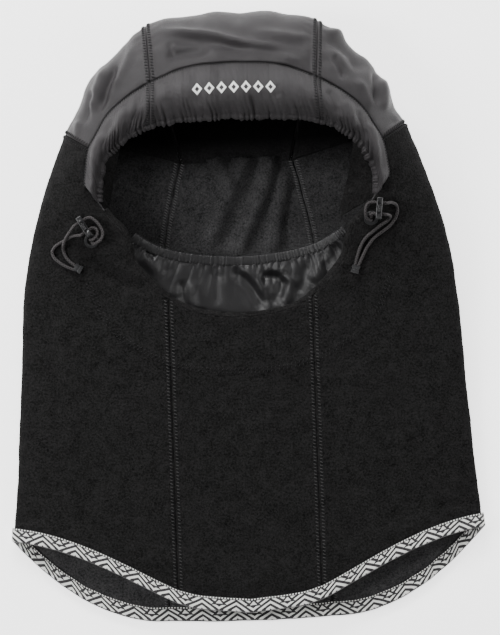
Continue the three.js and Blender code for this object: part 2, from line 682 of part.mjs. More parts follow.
// The points of one strand from its eyelet, through the lock and down to its crimp
function strandPoints(side, name) {
  const { inner, free, over } = sides[side];
  const { along, inwards, middle, eye, normal } = lockFrame(side);
  const sign = name === 'upper' ? -1 : 1;
  const place = (inward, down, rise) => middle.clone()
    .addScaledVector(inwards, inward).addScaledVector(along, down).add(new THREE.Vector3(0, 0, rise));
  const exit = eye.clone().addScaledVector(along, -sign * cordPair);
  const points = [-fleeceThick, 1.6].map((height) => exit.clone().addScaledVector(normal, height));
  points.push(...inner[name].map(([a, b, c]) => place(a, b, c)));
  const hole = sign * holeSpacing / 2;
  points.push(...straightThrough.map((inward) => place(inward, hole, 0)));
  free[name].forEach(([x, y], i) => {
    const p = middle.clone().add(new THREE.Vector3(x, y, 0));
    const rest = topHeight(p.x, p.y) + strandRise;
    const crossing = over && over.strand === name ? new THREE.Vector2(x - over.at[0], y - over.at[1]).length() : 99;
    const hump = (cordDiameter + 3 * gap) * (1 - smooth(2.4, 6.5, crossing));
    const fallen = smooth(name === 'upper' ? -0.7 : -1.2, 0.8, i);
    p.z = Math.max(rest + hump, mix(middle.z, rest, fallen));
    points.push(p);
  });
  return points;
}

// ---------- the two sides: panel with its eyelet, lock, button, spring, strands and crimp ----------

// A block with rounded corners in its length x height, centred, its thickness along z
function roundedBlock(length, height, thickness, radius) {
  const shape = new THREE.Shape();
  const [x, y] = [length / 2, height / 2];
  shape.moveTo(-x + radius, -y);
  shape.lineTo(x - radius, -y).absarc(x - radius, -y + radius, radius, -Math.PI / 2, 0);
  shape.lineTo(x, y - radius).absarc(x - radius, y - radius, radius, 0, Math.PI / 2);
  shape.lineTo(-x + radius, y).absarc(-x + radius, y - radius, radius, Math.PI / 2, Math.PI);
  shape.lineTo(-x, -y + radius).absarc(-x + radius, -y + radius, radius, Math.PI, Math.PI * 1.5);
  return new THREE.ExtrudeGeometry(shape, { depth: thickness, bevelEnabled: false, curveSegments: 4 })
    .translate(0, 0, -thickness / 2);
}
const drill = (x, length = 20) => new THREE.CylinderGeometry(holeDiameter / 2, holeDiameter / 2, length, 12)
  .rotateX(Math.PI / 2).translate(x, 0, 0);
const box = (w, h, d, x, y) => new THREE.BoxGeometry(w, h, d).translate(x, y, 0);

// In the lock's own frame x is along the bar, y is up and z is the way the strands pass.
const bladeThick = lockBody.thickness - 2 * lockWall - 2 * gap;
const bladeLength = lockBody.length - 2 * lockWall - 2 * gap;
const bladeHeight = holeDiameter + buttonTravel;
const cavityHeight = lockBody.height - 2 * lockWall;
const bladeMiddle = cavityHeight / 2 - gap - bladeHeight / 2; // above the holes, with the button out
const lockHoles = [-holeSpacing / 2, holeSpacing / 2];

function lockBodyShape() {
  const block = roundedBlock(lockBody.length, lockBody.height, lockBody.thickness, 2);
  const cavity = box(lockBody.length - 2 * lockWall, cavityHeight, lockBody.thickness - 2 * lockWall, 0, 0);
  const mouth = box(buttonHead.length + 2 * gap, lockWall * 3, bladeThick + 2 * gap, 0, lockBody.height / 2);
  return cut(block, cavity, mouth, ...lockHoles.map((x) => drill(x)));
}

// The button's blade has a slot for each strand, which is clear of it from rest to fully pressed.
function lockButtonShape() {
  const blade = toManifold(box(bladeLength, bladeHeight, bladeThick, 0, bladeMiddle));
  const stemHeight = lockBody.height / 2 + buttonHead.proud - bladeMiddle;
  const stem = toManifold(box(buttonHead.length, stemHeight, bladeThick, 0, bladeMiddle + stemHeight / 2));
  const slots = lockHoles.map((x) => toManifold(
    box(holeDiameter, bladeHeight, bladeThick + 2, x, bladeMiddle - buttonTravel / 2),
  ));
  return fromManifold(slots.reduce((rest, slot) => rest.subtract(slot), blade.add(stem)));
}

// A folded strip of spring steel between the floor of the body and the blade
function lockSpringShape() {
  const [low, high] = [-cavityHeight / 2 + gap, bladeMiddle - bladeHeight / 2 - gap];
  const [half, thick, folds] = [1.6, 0.25, 4];
  const rise = (high - low - thick) / folds;
  const leaf = new THREE.BoxGeometry(Math.hypot(2 * half, rise) + thick, thick, bladeThick * 0.8);
  const leaves = range(0, folds - 1, folds - 1).map((i) => toManifold(leaf.clone()
    .rotateZ(Math.atan2(rise, 2 * half) * (i % 2 ? -1 : 1))
    .translate(0, low + thick / 2 + (i + 0.5) * rise, 0)));
  return fromManifold(leaves.reduce((whole, one) => whole.add(one)));
}

// Eyelet: a flange on the fabric, a barrel through it
function eyeletShape() {
  const [bore, barrel] = [eyeletBore / 2, eyeletBore / 2 + eyeletWall];
  const flange = barrel + eyeletFlange;
  const end = -fleeceThick - gap - barrelEnd;
  const profile = [[bore, end], [barrel, end], [barrel, gap], [flange, gap], [flange, gap + 0.5],
    [barrel, gap + 1], [bore, gap + 0.8], [bore, end]];
  return new THREE.LatheGeometry(profile.map(([x, y]) => new THREE.Vector2(x, y)), 16).rotateX(Math.PI / 2);
}

for (const side of ['right', 'left']) {
  const { along, middle, eye, normal } = lockFrame(side);
  const tilt = new THREE.Quaternion().setFromUnitVectors(up, normal);
  const placeEyelet = (geometry, lift = 0) => geometry.applyQuaternion(tilt)
    .translate(...eye.clone().addScaledVector(normal, lift).toArray());
  const holeRadius = eyeletBore / 2 + eyeletWall + gap;
  const hole = new THREE.CylinderGeometry(holeRadius, holeRadius, 12, 16).rotateX(Math.PI / 2);
  const panel = side === 'right' ? sidePanel : mirrored(sidePanel);
  add(`side_panel_${side}`, cut(panel, placeEyelet(hole)), 'fleece');
  add(`cord_eyelet_${side}`, placeEyelet(eyeletShape(), gap), 'plastic');

  const through = along.clone().cross(up);
  const frame = new THREE.Matrix4().makeBasis(along, up, through).setPosition(middle);
  add(`lock_body_${side}`, lockBodyShape().applyMatrix4(frame), 'plastic');
  add(`lock_button_${side}`, lockButtonShape().applyMatrix4(frame), 'plastic');
  add(`lock_spring_${side}`, lockSpringShape().applyMatrix4(frame), 'steel');

  for (const strand of ['upper', 'lower']) {
    add(`cord_tail_${strand}_${side}`, cord(strandPoints(side, strand), 26), 'cord');
  }
  const { at, turn } = sides[side].crimp;
  const place = middle.clone().add(new THREE.Vector3(at[0], at[1], 0));
  place.z = topHeight(place.x, place.y) + crimp.height / 2 + 3 * gap;
  const end = roundedBlock(crimp.length, crimp.width, crimp.height, 1.2).rotateZ(turn).translate(...place.toArray());
  add(`cord_end_${side}`, end, 'plastic');
}

// ---------- drawcords in their channels ----------

// A channel runs inside the turned edge; each drawcord leaves it to end under the eyelets.
function drawcord(curve, from, to, steps, strand) {
  const channel = range(from, to, steps).map((share) => onTop(curve.getPoint(share), -lipRadius));
  const ends = ['right', 'left'].map((side) => {
    const [first, next] = strandPoints(side, strand);
    const inward = first.clone().sub(next).normalize();
    return [gap, 0.7 * cordDiameter].map((depth) => first.clone().addScaledVector(inward, depth));
  });
  return [...ends[0], ...channel, ...ends[1].reverse()];
}
const brimChannel = smoothCurve([...brimEdge.slice(1).reverse(), [0, brimEdge[0][1]],
  ...brimEdge.slice(1).map(([x, y]) => [-x, y])].map(([x, y]) => plan(x, y)));
add('brim_drawcord', cord(drawcord(brimChannel, 0.03, 0.97, 22, 'lower'), 44), 'cord');
add('chin_drawcord', cord(drawcord(rimCurve, 0.16, 0.84, 18, 'upper'), 34), 'cord');

export default balaclava;
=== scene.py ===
# A fleece balaclava with a nylon crown, lying flat on its back: +Y to the crown, +Z up.
# Shapes are worked out in millimetres and put into the meshes in metres.
import math

import bmesh
import bpy
import numpy as np
from mathutils import Matrix, Vector


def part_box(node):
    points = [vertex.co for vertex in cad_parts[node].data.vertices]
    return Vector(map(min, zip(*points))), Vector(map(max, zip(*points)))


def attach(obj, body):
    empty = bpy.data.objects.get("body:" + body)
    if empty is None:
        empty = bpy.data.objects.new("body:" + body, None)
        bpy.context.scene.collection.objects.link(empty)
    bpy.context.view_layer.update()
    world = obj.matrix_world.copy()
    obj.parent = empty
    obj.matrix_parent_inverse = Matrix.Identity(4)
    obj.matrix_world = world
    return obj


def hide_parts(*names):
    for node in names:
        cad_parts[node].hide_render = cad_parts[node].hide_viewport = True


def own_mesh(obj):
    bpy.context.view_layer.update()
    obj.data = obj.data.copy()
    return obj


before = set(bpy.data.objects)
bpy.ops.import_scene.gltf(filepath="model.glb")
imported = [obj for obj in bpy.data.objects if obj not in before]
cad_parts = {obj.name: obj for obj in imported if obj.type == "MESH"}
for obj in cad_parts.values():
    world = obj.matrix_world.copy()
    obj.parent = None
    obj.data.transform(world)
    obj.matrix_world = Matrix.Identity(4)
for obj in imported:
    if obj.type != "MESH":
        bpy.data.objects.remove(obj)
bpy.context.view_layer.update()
bpy.ops.object.select_all(action="DESELECT")

# ---------- camera, light and floor ----------
# The camera looks straight down on the hood from above, turned a little to one side, as a flat-lay is shot.
# A wide soft box stands past the crown, with weaker ones at the sides and above. The plain pale floor gives
# off some light of its own.
camera_height = 9.0
frame_tall = 0.4064  # of the floor, at the hood's middle height
camera_data = bpy.data.cameras.new("camera")
camera_data.sensor_width = 36
camera_data.clip_end = 50
camera_data.lens = camera_data.sensor_width * (camera_height - 0.02) / frame_tall
camera = bpy.data.objects.new("camera", camera_data)
camera.location = (0.0055, -0.001, camera_height)
camera.rotation_euler = (0, 0, -0.033)
bpy.context.scene.collection.objects.link(camera)
bpy.context.scene.camera = camera


def soft_box(name, place, power, size):
    data = bpy.data.lights.new(name, "AREA")
    data.energy = power
    data.shape = "RECTANGLE"
    data.size, data.size_y = size
    lamp = bpy.data.objects.new(name, data)
    lamp.location = place
    lamp.rotation_euler = (-Vector(place)).to_track_quat("-Z", "Y").to_euler()
    bpy.context.scene.collection.objects.link(lamp)


soft_box("key_light", (-0.3, 1.35, 0.95), 36, (1.2, 0.4))
soft_box("left_fill", (-1.05, 0.15, 1.0), 17, (0.4, 0.8))
soft_box("right_fill", (1.4, 0.1, 0.8), 11, (0.5, 1.0))
soft_box("top_fill", (0, -0.5, 1.9), 3, (1.0, 1.0))
sky = bpy.data.worlds.new("sky")
sky.use_nodes = True
sky.node_tree.nodes["Background"].inputs["Color"].default_value = (1, 1, 1, 1)
sky.node_tree.nodes["Background"].inputs["Strength"].default_value = 0.2
bpy.context.scene.world = sky

bpy.ops.mesh.primitive_plane_add(size=6, location=(0, 0, -0.0003))
floor = bpy.context.object
floor.name = "floor"
floor_paint = bpy.data.materials.new("floor_paint")
floor_paint.use_nodes = True
floor_shader = floor_paint.node_tree.nodes["Principled BSDF"]
floor_shader.inputs["Base Color"].default_value = (0.97, 0.97, 0.97, 1)
floor_shader.inputs["Roughness"].default_value = 0.9
floor_shader.inputs["Emission Color"].default_value = (1, 1, 1, 1)
floor_shader.inputs["Emission Strength"].default_value = 2.0
floor.data.materials.append(floor_paint)
floor.select_set(False)

# ---------- drawcord tails ----------
# Four ends of braided elastic cord, 2 mm thick. Each leaves its eyelet, passes a hole of the lock and lies on
# the fleece down to the crimp that holds a pair together. They lie on the hood, so its outline comes first.


def mix(a, b, share):
    return a + (b - a) * share


def smooth(a, b, x):
    u = np.clip((np.asarray(x, float) - a) / (b - a), 0, 1)
    return u * u * (3 - 2 * u)


class Curve:
    """A smooth line through points. Its parameter counts the points, from 0."""

    def __init__(self, points):
        p = np.array(points, float)
        self.last = len(p) - 1
        self.p = np.vstack([2 * p[0] - p[1], p, 2 * p[-1] - p[-2]])

    def __call__(self, u):
        u = np.clip(np.asarray(u, float), 0, self.last)
        i = np.minimum(u.astype(int), self.last - 1)
        w = (u - i)[..., None]
        p0, p1, p2, p3 = (self.p[i + k] for k in range(4))
        d0, d1, d2 = (np.linalg.norm(b - a, axis=-1)[..., None] ** 0.5
                      for a, b in ((p0, p1), (p1, p2), (p2, p3)))
        t1 = ((p1 - p0) / d0 - (p2 - p0) / (d0 + d1) + (p2 - p1) / d1) * d1
        t2 = ((p2 - p1) / d1 - (p3 - p1) / (d1 + d2) + (p3 - p2) / d2) * d1
        return p1 + w * (t1 + w * (3 * (p2 - p1) - 2 * t1 - t2 + w * (t1 + t2 - 2 * (p2 - p1))))


def through(pairs):
    """A smooth function through (x, value) pairs in rising x."""
    x, y = np.array(pairs, float).T
    low, high = np.maximum(np.arange(len(x)) - 1, 0), np.minimum(np.arange(len(x)) + 1, len(x) - 1)
    slope = (y[high] - y[low]) / (x[high] - x[low])

    def value(at):
        at = np.asarray(at, float)
        i = np.clip(np.searchsorted(x, at, side="left") - 1, 0, len(x) - 2)
        h = x[i + 1] - x[i]
        u = np.clip((at - x[i]) / h, 0, 1)
        a, b, rise = slope[i] * h, slope[i + 1] * h, y[i + 1] - y[i]
        return y[i] + u * (a + u * (3 * rise - 2 * a - b + u * (a + b - 2 * rise)))

    return value


# Ribs of the right half, from the middle of the brim round to the hem: inner edge, side fold, back seam
front_seam = 46
ribs = np.array([
    [0, 162.5, 0, 195, 0, 101.4],
    [29, 160.3, 30, 193.2, 18, 101.4],
    [53, 151.3, 55, 187, 36, 101.4],
    [70, 141.5, 76, 169, 43, 103.2],
    [82, 131, 93.5, 150.5, 53, 105.7],
    [89, 119.5, 102, 133, 65, 108.8],
    [94.2, 110.7, 108.3, 119.7, 78, 112],
    [96.7, 99, 115.3, 104.5, 37.5, 95],
    [97.5, 87, 121.3, 88.5, 40, 86],
    [93.8, 81, 125, 78, 42, 76],
    [89.2, 75.8, 127.8, 68.5, 44.5, 66],
    [82.2, 65.4, 130.8, 58, 46.5, 56],
    [74.8, 57, 133.3, 48, 48, 46],
    [71.5, 48.5, 135.3, 37, 49, 36],
    [68.3, 37, 137.3, 24, 49.8, 24],
    [59, 24.8, 139, 8, 50.3, 8],
    [front_seam, 11.8, 140.5, -10, 50.6, -10],
    [front_seam, -12, 142, -35, 51, -35],
    [front_seam, -50, 144, -66, 51.3, -68],
    [front_seam, -92, 146.3, -96, 51.6, -104],
    [front_seam, -135, 148.5, -119, 52, -145],
    [front_seam, -181.3, 150.3, -138.5, 52, -192.3],
])
crown_seam, nylon_seam, brim_root, brim_end, chin_corner, hem = 2, 6, 8, 10, 16, 21
chin_height, brim_height, hem_height = 32, 68, 14.5
fleece_thick, nylon_thick, gap = 1.8, 0.9, 0.3
fold_curve = Curve(ribs[:, 2:4])
upper_inner = Curve(ribs[: chin_corner + 1, 0:2])
back_curve = Curve(np.vstack([[36, 101.4], ribs[nylon_seam + 1 :, 4:6]]))
fold_table = fold_curve(np.linspace(hem, 0, 1201))
fold_height = through([(-135, 5), (-100, 6.5), (-54, 9), (0, 13), (30, 18), (60, 23), (88, 27), (120, 30),
                       (160, 35), (195, 38)])
crest_low = through([
    (-188, hem_height), (-120, mix(hem_height, chin_height, 0.25)), (-54, mix(hem_height, chin_height, 0.6)),
    (3, chin_height), (16, chin_height + 2.5), (39, chin_height + 8),
    (60, mix(chin_height, brim_height, 0.44)),
    (77, mix(chin_height, brim_height, 0.68)), (90, mix(chin_height, brim_height, 0.81)),
    (105, mix(chin_height, brim_height, 0.93)), (125, brim_height),
])


def dome(share):
    return np.maximum(0, 1 - np.minimum(share, 1) ** 2.2) ** (1 / 2.2)


def top_height(x, y):
    """Height of the hood's front above a plan point, in millimetres."""
    high = mix(fold_height(y), brim_height, dome((np.maximum(y, 125) - 125) / 70))
    crest = np.where(y <= 125, crest_low(y), high)
    half = np.interp(y, fold_table[:, 1], fold_table[:, 0])
    return mix(fold_height(y), crest, dome(np.abs(x) / np.maximum(half, 1e-6)))


def on_top(plan, lift=0.0):
    plan = np.asarray(plan, float)
    height = top_height(plan[..., 0], plan[..., 1]) + lift
    return np.concatenate([plan[..., :2], height[..., None]], axis=-1)


def unit(v):
    return v / np.maximum(np.linalg.norm(v, axis=-1, keepdims=True), 1e-12)


# Where each lock, its eyelet and its strands lie. Free strands are plan points from the middle of the lock.
# The stretch from eyelet to lock is in the lock's own directions: inwards, along the bar, above the holes.
sides = {
    "left": {
        "lock": (-98.6, 60.6), "bar": (0.517, -0.857), "eyelet": (-94, 51.5), "turn": 1, "holes": 47.76,
        "inner": {
            "upper": [(0.8, 13.1, -1.2), (4.4, 13.0, -0.2), (7.8, 10.2, 0.3), (8.7, 5, 0.4), (8, 0.4, 0.3),
                      (6.3, -2.7, 0.1)],
            "lower": [(0.7, 10.2, -1.5), (3.3, 9.8, -0.3), (5.3, 7.8, 0), (5.5, 5.2, 0)],
        },
        "free": {
            "upper": [(-8.6, -2.6), (-11.9, -7.3), (-13.5, -11), (-13.7, -14.6), (-12.5, -18.6),
                      (-10.2, -21.8), (-7.6, -24.0)],
            "lower": [(-7.4, -6), (-12.9, -8.7), (-18.4, -11.9), (-20.8, -15.4), (-20, -18.9), (-17, -22),
                      (-12.6, -25), (-8.4, -26.8)],
        },
        "crossing": {"upper": (-12.1, -8.2)}, "crimp": (-4.6, -26.7, -0.55),
    },
    "right": {
        "lock": (90.2, 66), "bar": (-0.115, -0.993), "eyelet": (84.8, 60.2), "turn": -1, "holes": 52.84,
        "inner": {
            "upper": [(6.9, 7.5, -2.2), (8.4, 4.6, -0.2), (8.6, 0.6, 0.3), (7.4, -2.4, 0.1)],
            "lower": [(5.6, 4.9, -2.6), (4.6, 4.1, -0.7)],
        },
        "free": {
            "upper": [(7.8, 3.4), (11.2, 1.3), (11.6, -2.4), (9.8, -7.2), (6.2, -11.5), (1.4, -15), (-4, -19),
                      (-8.1, -24), (-11.2, -29.7), (-13.9, -35.2)],
            "lower": [(6.9, -5.3), (5.3, -7.9), (0.8, -10.7), (-4, -14.4), (-9.2, -18.6), (-12.5, -23.8),
                      (-14.7, -29.6), (-16.1, -34.8)],
        },
        "crossing": {}, "crimp": (-16.3, -38.4, 1.28),
    },
}
cord_diameter = 2.0
hole_spacing = 7.2


def lock_frame(side):
    """Middle of the holes, direction along the bar, direction inwards, eyelet and the fabric's normal."""
    s = sides[side]
    along = unit(np.array([*s["bar"], 0.0]))
    inwards = s["turn"] * np.array([-along[1], along[0], 0.0])
    middle = np.array([*s["lock"], s["holes"]])
    eye = on_top(s["eyelet"])
    east, north = (on_top(eye[:2] + step) - on_top(eye[:2] - step) for step in np.eye(2))
    return along, inwards, middle, eye, unit(np.cross(east, north))


def strand_route(side, name):
    s = sides[side]
    along, inwards, middle, eye, normal = lock_frame(side)
    sign = -1 if name == "upper" else 1
    leave = eye - along * sign * (cord_diameter + gap) / 2
    route = [leave - fleece_thick * normal, leave + 1.6 * normal]
    route += [middle + a * inwards + b * along + [0, 0, c] for a, b, c in s["inner"][name]]
    route += [middle + a * inwards + sign * hole_spacing / 2 * along for a in (3.6, 1.6, -0.6, -2.8, -4.6)]
    for i, (x, y) in enumerate(s["free"][name]):
        rest = on_top(middle[:2] + [x, y], cord_diameter / 2 + 1.5 * gap)
        far = math.dist((x, y), s["crossing"][name]) if name in s["crossing"] else 99
        hump = (cord_diameter + 3 * gap) * (1 - smooth(2.4, 6.5, far))
        fallen = smooth(-0.7 if name == "upper" else -1.2, 0.8, i)
        rest[2] = max(rest[2] + hump, mix(middle[2], rest[2], fallen))
        route.append(rest)
    return np.array(route)


def put_mesh(name, points, faces, uvs=None):
    """A smooth mesh object from points in millimetres; uvs has one pair for each corner of each face."""
    mesh = bpy.data.meshes.new(name)
    mesh.from_pydata((np.asarray(points) / 1000).tolist(), [], faces)
    mesh.polygons.foreach_set("use_smooth", np.ones(len(mesh.polygons), bool))
    if uvs is not None:
        mesh.uv_layers.new(name="UVMap").data.foreach_set("uv", np.asarray(uvs, np.float32).ravel())
    obj = bpy.data.objects.new(name, mesh)
    bpy.context.scene.collection.objects.link(obj)
    return obj


def even_line(points, spacing):
    """The same line with evenly spaced points, and its length."""
    run = np.concatenate([[0], np.cumsum(np.linalg.norm(np.diff(points, axis=0), axis=1))])
    at = np.linspace(0, run[-1], max(2, round(run[-1] / spacing) + 1))
    return np.stack([np.interp(at, run, points[:, k]) for k in range(points.shape[1])], axis=1), run[-1]


def tube(name, line, radius, around=12):
    """A closed round tube along a line, with rounded ends. U runs along it and V round it, in millimetres."""
    pitch, end_size = 0.55, 0.55  # mm between rings, and the share of the radius left at the ends
    line, _ = even_line(line, pitch)
    tangent = unit(np.gradient(line, axis=0))
    side = unit(np.cross(tangent[0], [0.2, 0.1, 1.0]))
    rings, scale = [], np.ones(len(line))
    scale[0] = scale[-1] = end_size
    for p, t, s in zip(line, tangent, scale):
        side = unit(side - t * np.dot(side, t))
        up = np.cross(t, side)
        turn = np.arange(around) * 2 * np.pi / around
        rings.append(p + radius * s * (np.cos(turn)[:, None] * side + np.sin(turn)[:, None] * up))
    n, k = len(line), around
    faces = [(i * k + j, (i + 1) * k + j, (i + 1) * k + (j + 1) % k, i * k + (j + 1) % k)
             for i in range(n - 1) for j in range(k)]
    uvs = [(u * pitch, v * 2 * np.pi * radius / k) for i in range(n - 1) for j in range(k)
           for u, v in ((i, j), (i + 1, j), (i + 1, j + 1), (i, j + 1))]
    faces += [tuple(range(k)), tuple(range((n - 1) * k, n * k))[::-1]]
    uvs += [(0, 0)] * (2 * k)
    corners = np.split(np.array(uvs), np.cumsum([len(f) for f in faces])[:-1])
    obj = put_mesh(name, np.concatenate(rings), [f[::-1] for f in faces], [uv for f in corners for uv in f[::-1]])
    return obj, line


class Socket:
    """The output of a shader node. Arithmetic on it adds Math nodes to its finish."""

    def __init__(self, finish, out):
        self.finish, self.out = finish, out

    def math(self, operation, *values):
        return self.finish.node("ShaderNodeMath", {"operation": operation}, values)

    def __add__(self, other):
        return self.math("ADD", self, other)

    def __sub__(self, other):
        return self.math("SUBTRACT", self, other)

    def __rsub__(self, other):
        return self.math("SUBTRACT", other, self)

    def __mul__(self, other):
        return self.math("MULTIPLY", self, other)

    def __lt__(self, other):
        return self.math("LESS_THAN", self, other)

    def __gt__(self, other):
        return self.math("GREATER_THAN", self, other)

    def __mod__(self, other):
        return self.math("FLOORED_MODULO", self, other)

    def __abs__(self):
        return self.math("ABSOLUTE", self)

    def sin(self):
        return self.math("SINE", self)

    def larger(self, other):
        return self.math("MAXIMUM", self, other)

    __radd__ = __add__
    __rmul__ = __mul__


class Finish:
    """A material on the Principled shader, whose constants are given by name."""

    def __init__(self, name, colour, roughness, **constants):
        self.material = bpy.data.materials.new(name)
        self.material.use_nodes = True
        self.tree = self.material.node_tree
        self.shader = self.tree.nodes["Principled BSDF"]
        self.shader.inputs["Base Color"].default_value = (*colour, 1)
        self.shader.inputs["Roughness"].default_value = roughness
        for key, value in constants.items():
            self.shader.inputs[key.replace("_", " ").title().replace("Ior", "IOR")].default_value = value
        self.place = self.node("ShaderNodeTexCoord", output="Object")

    def node(self, kind, settings=None, inputs=(), output=0):
        new = self.tree.nodes.new(kind)
        for key, value in (settings or {}).items():
            setattr(new, key, value)
        for key, value in inputs.items() if isinstance(inputs, dict) else enumerate(inputs):
            if isinstance(value, Socket):
                self.tree.links.new(value.out, new.inputs[key])
            else:
                new.inputs[key].default_value = value
        return Socket(self, new.outputs[output])

    def noise(self, size, detail=2.0, stretch=(1, 1, 1), rough=0.5):
        """Noise from 0 to 1 whose lumps are about size millimetres across."""
        place = self.node("ShaderNodeMapping", None, {"Vector": self.place, "Scale": stretch})
        return self.node("ShaderNodeTexNoise", None, {
            "Vector": place, "Scale": 1000 / size, "Detail": detail, "Roughness": rough})

    def uv(self):
        """U and V in millimetres."""
        both = self.node("ShaderNodeUVMap", {"uv_map": "UVMap"})
        split = self.node("ShaderNodeSeparateXYZ", None, [both])
        return split, Socket(self, split.out.node.outputs[1])

    def blend(self, share, first, second):
        return self.node("ShaderNodeMix", {"data_type": "RGBA"}, {0: share, 6: first, 7: second}, output=2)

    def feed(self, name, socket):
        self.tree.links.new(socket.out, self.shader.inputs[name])

    def bump(self, height, distance, strength=1.0):
        """distance is the height of the relief, in millimetres."""
        self.feed("Normal", self.node("ShaderNodeBump", None, {
            "Height": height, "Distance": distance / 1000, "Strength": strength}))

    def paint(self, *objects):
        for obj in objects:
            obj.data.materials.clear()
            obj.data.materials.append(self.material)


def settle(obj, finish, slot, body, *nodes):
    """Paints a piece, hangs it on the body it rides on, and hides the solids that it stands for. slot is not
    used.
    """
    finish.paint(obj)
    if nodes:
        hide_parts(*nodes)
    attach(obj, body)

# Braided sheath of the elastic cord: two families of slanted ribs, grey with nearly black joints
cord_braid = Finish("cord_braid", (0.03, 0.027, 0.028), 0.7, specular_ior_level=0.2, sheen_weight=0.02,
                    sheen_roughness=0.4)
along, around = cord_braid.uv()
ribs_a, ribs_b = (along * 3.6 + around * 3).sin(), (along * 3.6 - around * 3).sin()
relief = ribs_a.larger(ribs_b)
cord_braid.feed("Base Color", cord_braid.blend(
    relief * 0.5 + 0.5, (0.01, 0.009, 0.0095, 1), (0.05, 0.046, 0.047, 1)))
cord_braid.bump(relief, 0.12)
held_in_crimp = 1.8  # length of cord inside its crimp
strands = {}
for side in sides:
    for name in ("upper", "lower"):
        route = strand_route(side, name)
        smooth_route = Curve(route)(np.linspace(0, len(route) - 1, 12 * len(route)))
        tip = smooth_route[-1] + unit(smooth_route[-1] - smooth_route[-3]) * held_in_crimp
        smooth_route = np.vstack([smooth_route, tip])
        strand, middle_line = tube(f"drawcord_tail_{name}_{side}", smooth_route, cord_diameter / 2)
        settle(strand, cord_braid, "elastic_cord", "hood", f"cord_tail_{name}_{side}")
        strands[side, name] = strand, middle_line / 1000

# ---------- cord end crimps ----------
# A small moulded clip pinches the ends of each pair of tails: a block with soft corners, a waist round the
# middle, with the cords run into its end. It is gloss black plastic, as the locks are.
lock_plastic = Finish("lock_plastic", (0.012, 0.012, 0.013), 0.3, coat_weight=0.15, coat_roughness=0.2)
lock_plastic.feed("Roughness", lock_plastic.noise(1.4, 3) * 0.16 + 0.24)
lock_plastic.bump(lock_plastic.noise(0.35, 2), 0.01)


def start_block(name, size):
    """A block of that size in millimetres, at the origin, to be cut and rounded."""
    bpy.ops.object.select_all(action="DESELECT")
    bpy.ops.mesh.primitive_cube_add(size=1)
    obj = bpy.context.object
    obj.name = obj.data.name = name
    obj.scale = [v / 1000 for v in size]
    bpy.ops.object.transform_apply(location=False, rotation=False, scale=True)
    return obj


def soften(obj, width, segments=3, angle=35):
    """Rounds the edges that turn by more than angle, and shades the piece smooth between them."""
    bevel = obj.modifiers.new("bevel", "BEVEL")
    bevel.width, bevel.segments, bevel.limit_method = width / 1000, segments, "ANGLE"
    bevel.angle_limit = math.radians(angle)
    bpy.context.view_layer.objects.active = obj
    bpy.ops.object.modifier_apply(modifier="bevel")
    obj.select_set(True)
    bpy.ops.object.shade_smooth_by_angle(angle=math.radians(50))
    obj.select_set(False)


def cut_out(obj, *tools):
    for tool in tools:
        boolean = obj.modifiers.new("cut", "BOOLEAN")
        boolean.operation, boolean.solver, boolean.object = "DIFFERENCE", "EXACT", tool
        bpy.context.view_layer.objects.active = obj
        bpy.ops.object.modifier_apply(modifier="cut")
        bpy.data.objects.remove(tool)


def place_at(obj, origin, x, y, z):
    """Turns the mesh so that its own axes lie along x, y and z, and moves it to origin, in millimetres."""
    matrix = Matrix.Identity(4)
    for k, axis in enumerate((x, y, z)):
        matrix.col[k][:3] = [float(v) for v in axis]
    matrix.col[3][:3] = [float(v) / 1000 for v in origin]
    obj.data.transform(matrix)


def rod(diameter, length, axis="Z", at=(0, 0, 0), vertices=32):
    """A round bar in millimetres, for a ring or as a drill."""
    turn = {"X": (0, math.pi / 2, 0), "Y": (math.pi / 2, 0, 0), "Z": (0, 0, 0)}[axis]
    bpy.ops.mesh.primitive_cylinder_add(vertices=vertices, radius=diameter / 2000, depth=length / 1000,
                                        location=[v / 1000 for v in at], rotation=turn)
    tool = bpy.context.object
    tool.select_set(False)
    return tool


crimp_size = (5.0, 5.0, 3.2)
for side in sides:
    along, inwards, middle, eye, normal = lock_frame(side)
    x, y, turn = sides[side]["crimp"]
    clip = start_block(f"crimp_{side}", crimp_size)
    waist = start_block("waist", (1.1, 6, 6))
    waist_core = start_block("core", (2, 4.2, 2.5))
    cut_out(waist, waist_core)
    cut_out(clip, waist)
    soften(clip, 0.5)
    rest = on_top(middle[:2] + [x, y], crimp_size[2] / 2 + 3 * gap)
    place_at(clip, rest, (math.cos(turn), math.sin(turn), 0), (-math.sin(turn), math.cos(turn), 0), (0, 0, 1))
    settle(clip, lock_plastic, "lock_plastic", "hood", f"cord_end_{side}")
    for name in ("upper", "lower"):
        strand, line = strands[side, name]

# ---------- crown ----------
# Three panels of woven nylon over the top of the head, from the brim's seam over the fold and down the back.
# Flat seams join them to each other and to the fleece, and the thin cloth creases where it is folded.


def noise_over(x, y, size, seed):
    """Soft rolling noise from about -1 to 1 over the plan, with lumps about size millimetres across."""
    draw = np.random.default_rng(seed)
    total = np.zeros(np.broadcast(x, y).shape)
    for _ in range(9):
        turn, phase, step = draw.uniform(0, np.pi), draw.uniform(0, 2 * np.pi), size * draw.uniform(0.7, 1.6)
        total += np.sin((x * np.cos(turn) + y * np.sin(turn)) * np.pi / step + phase)
    return total / 4


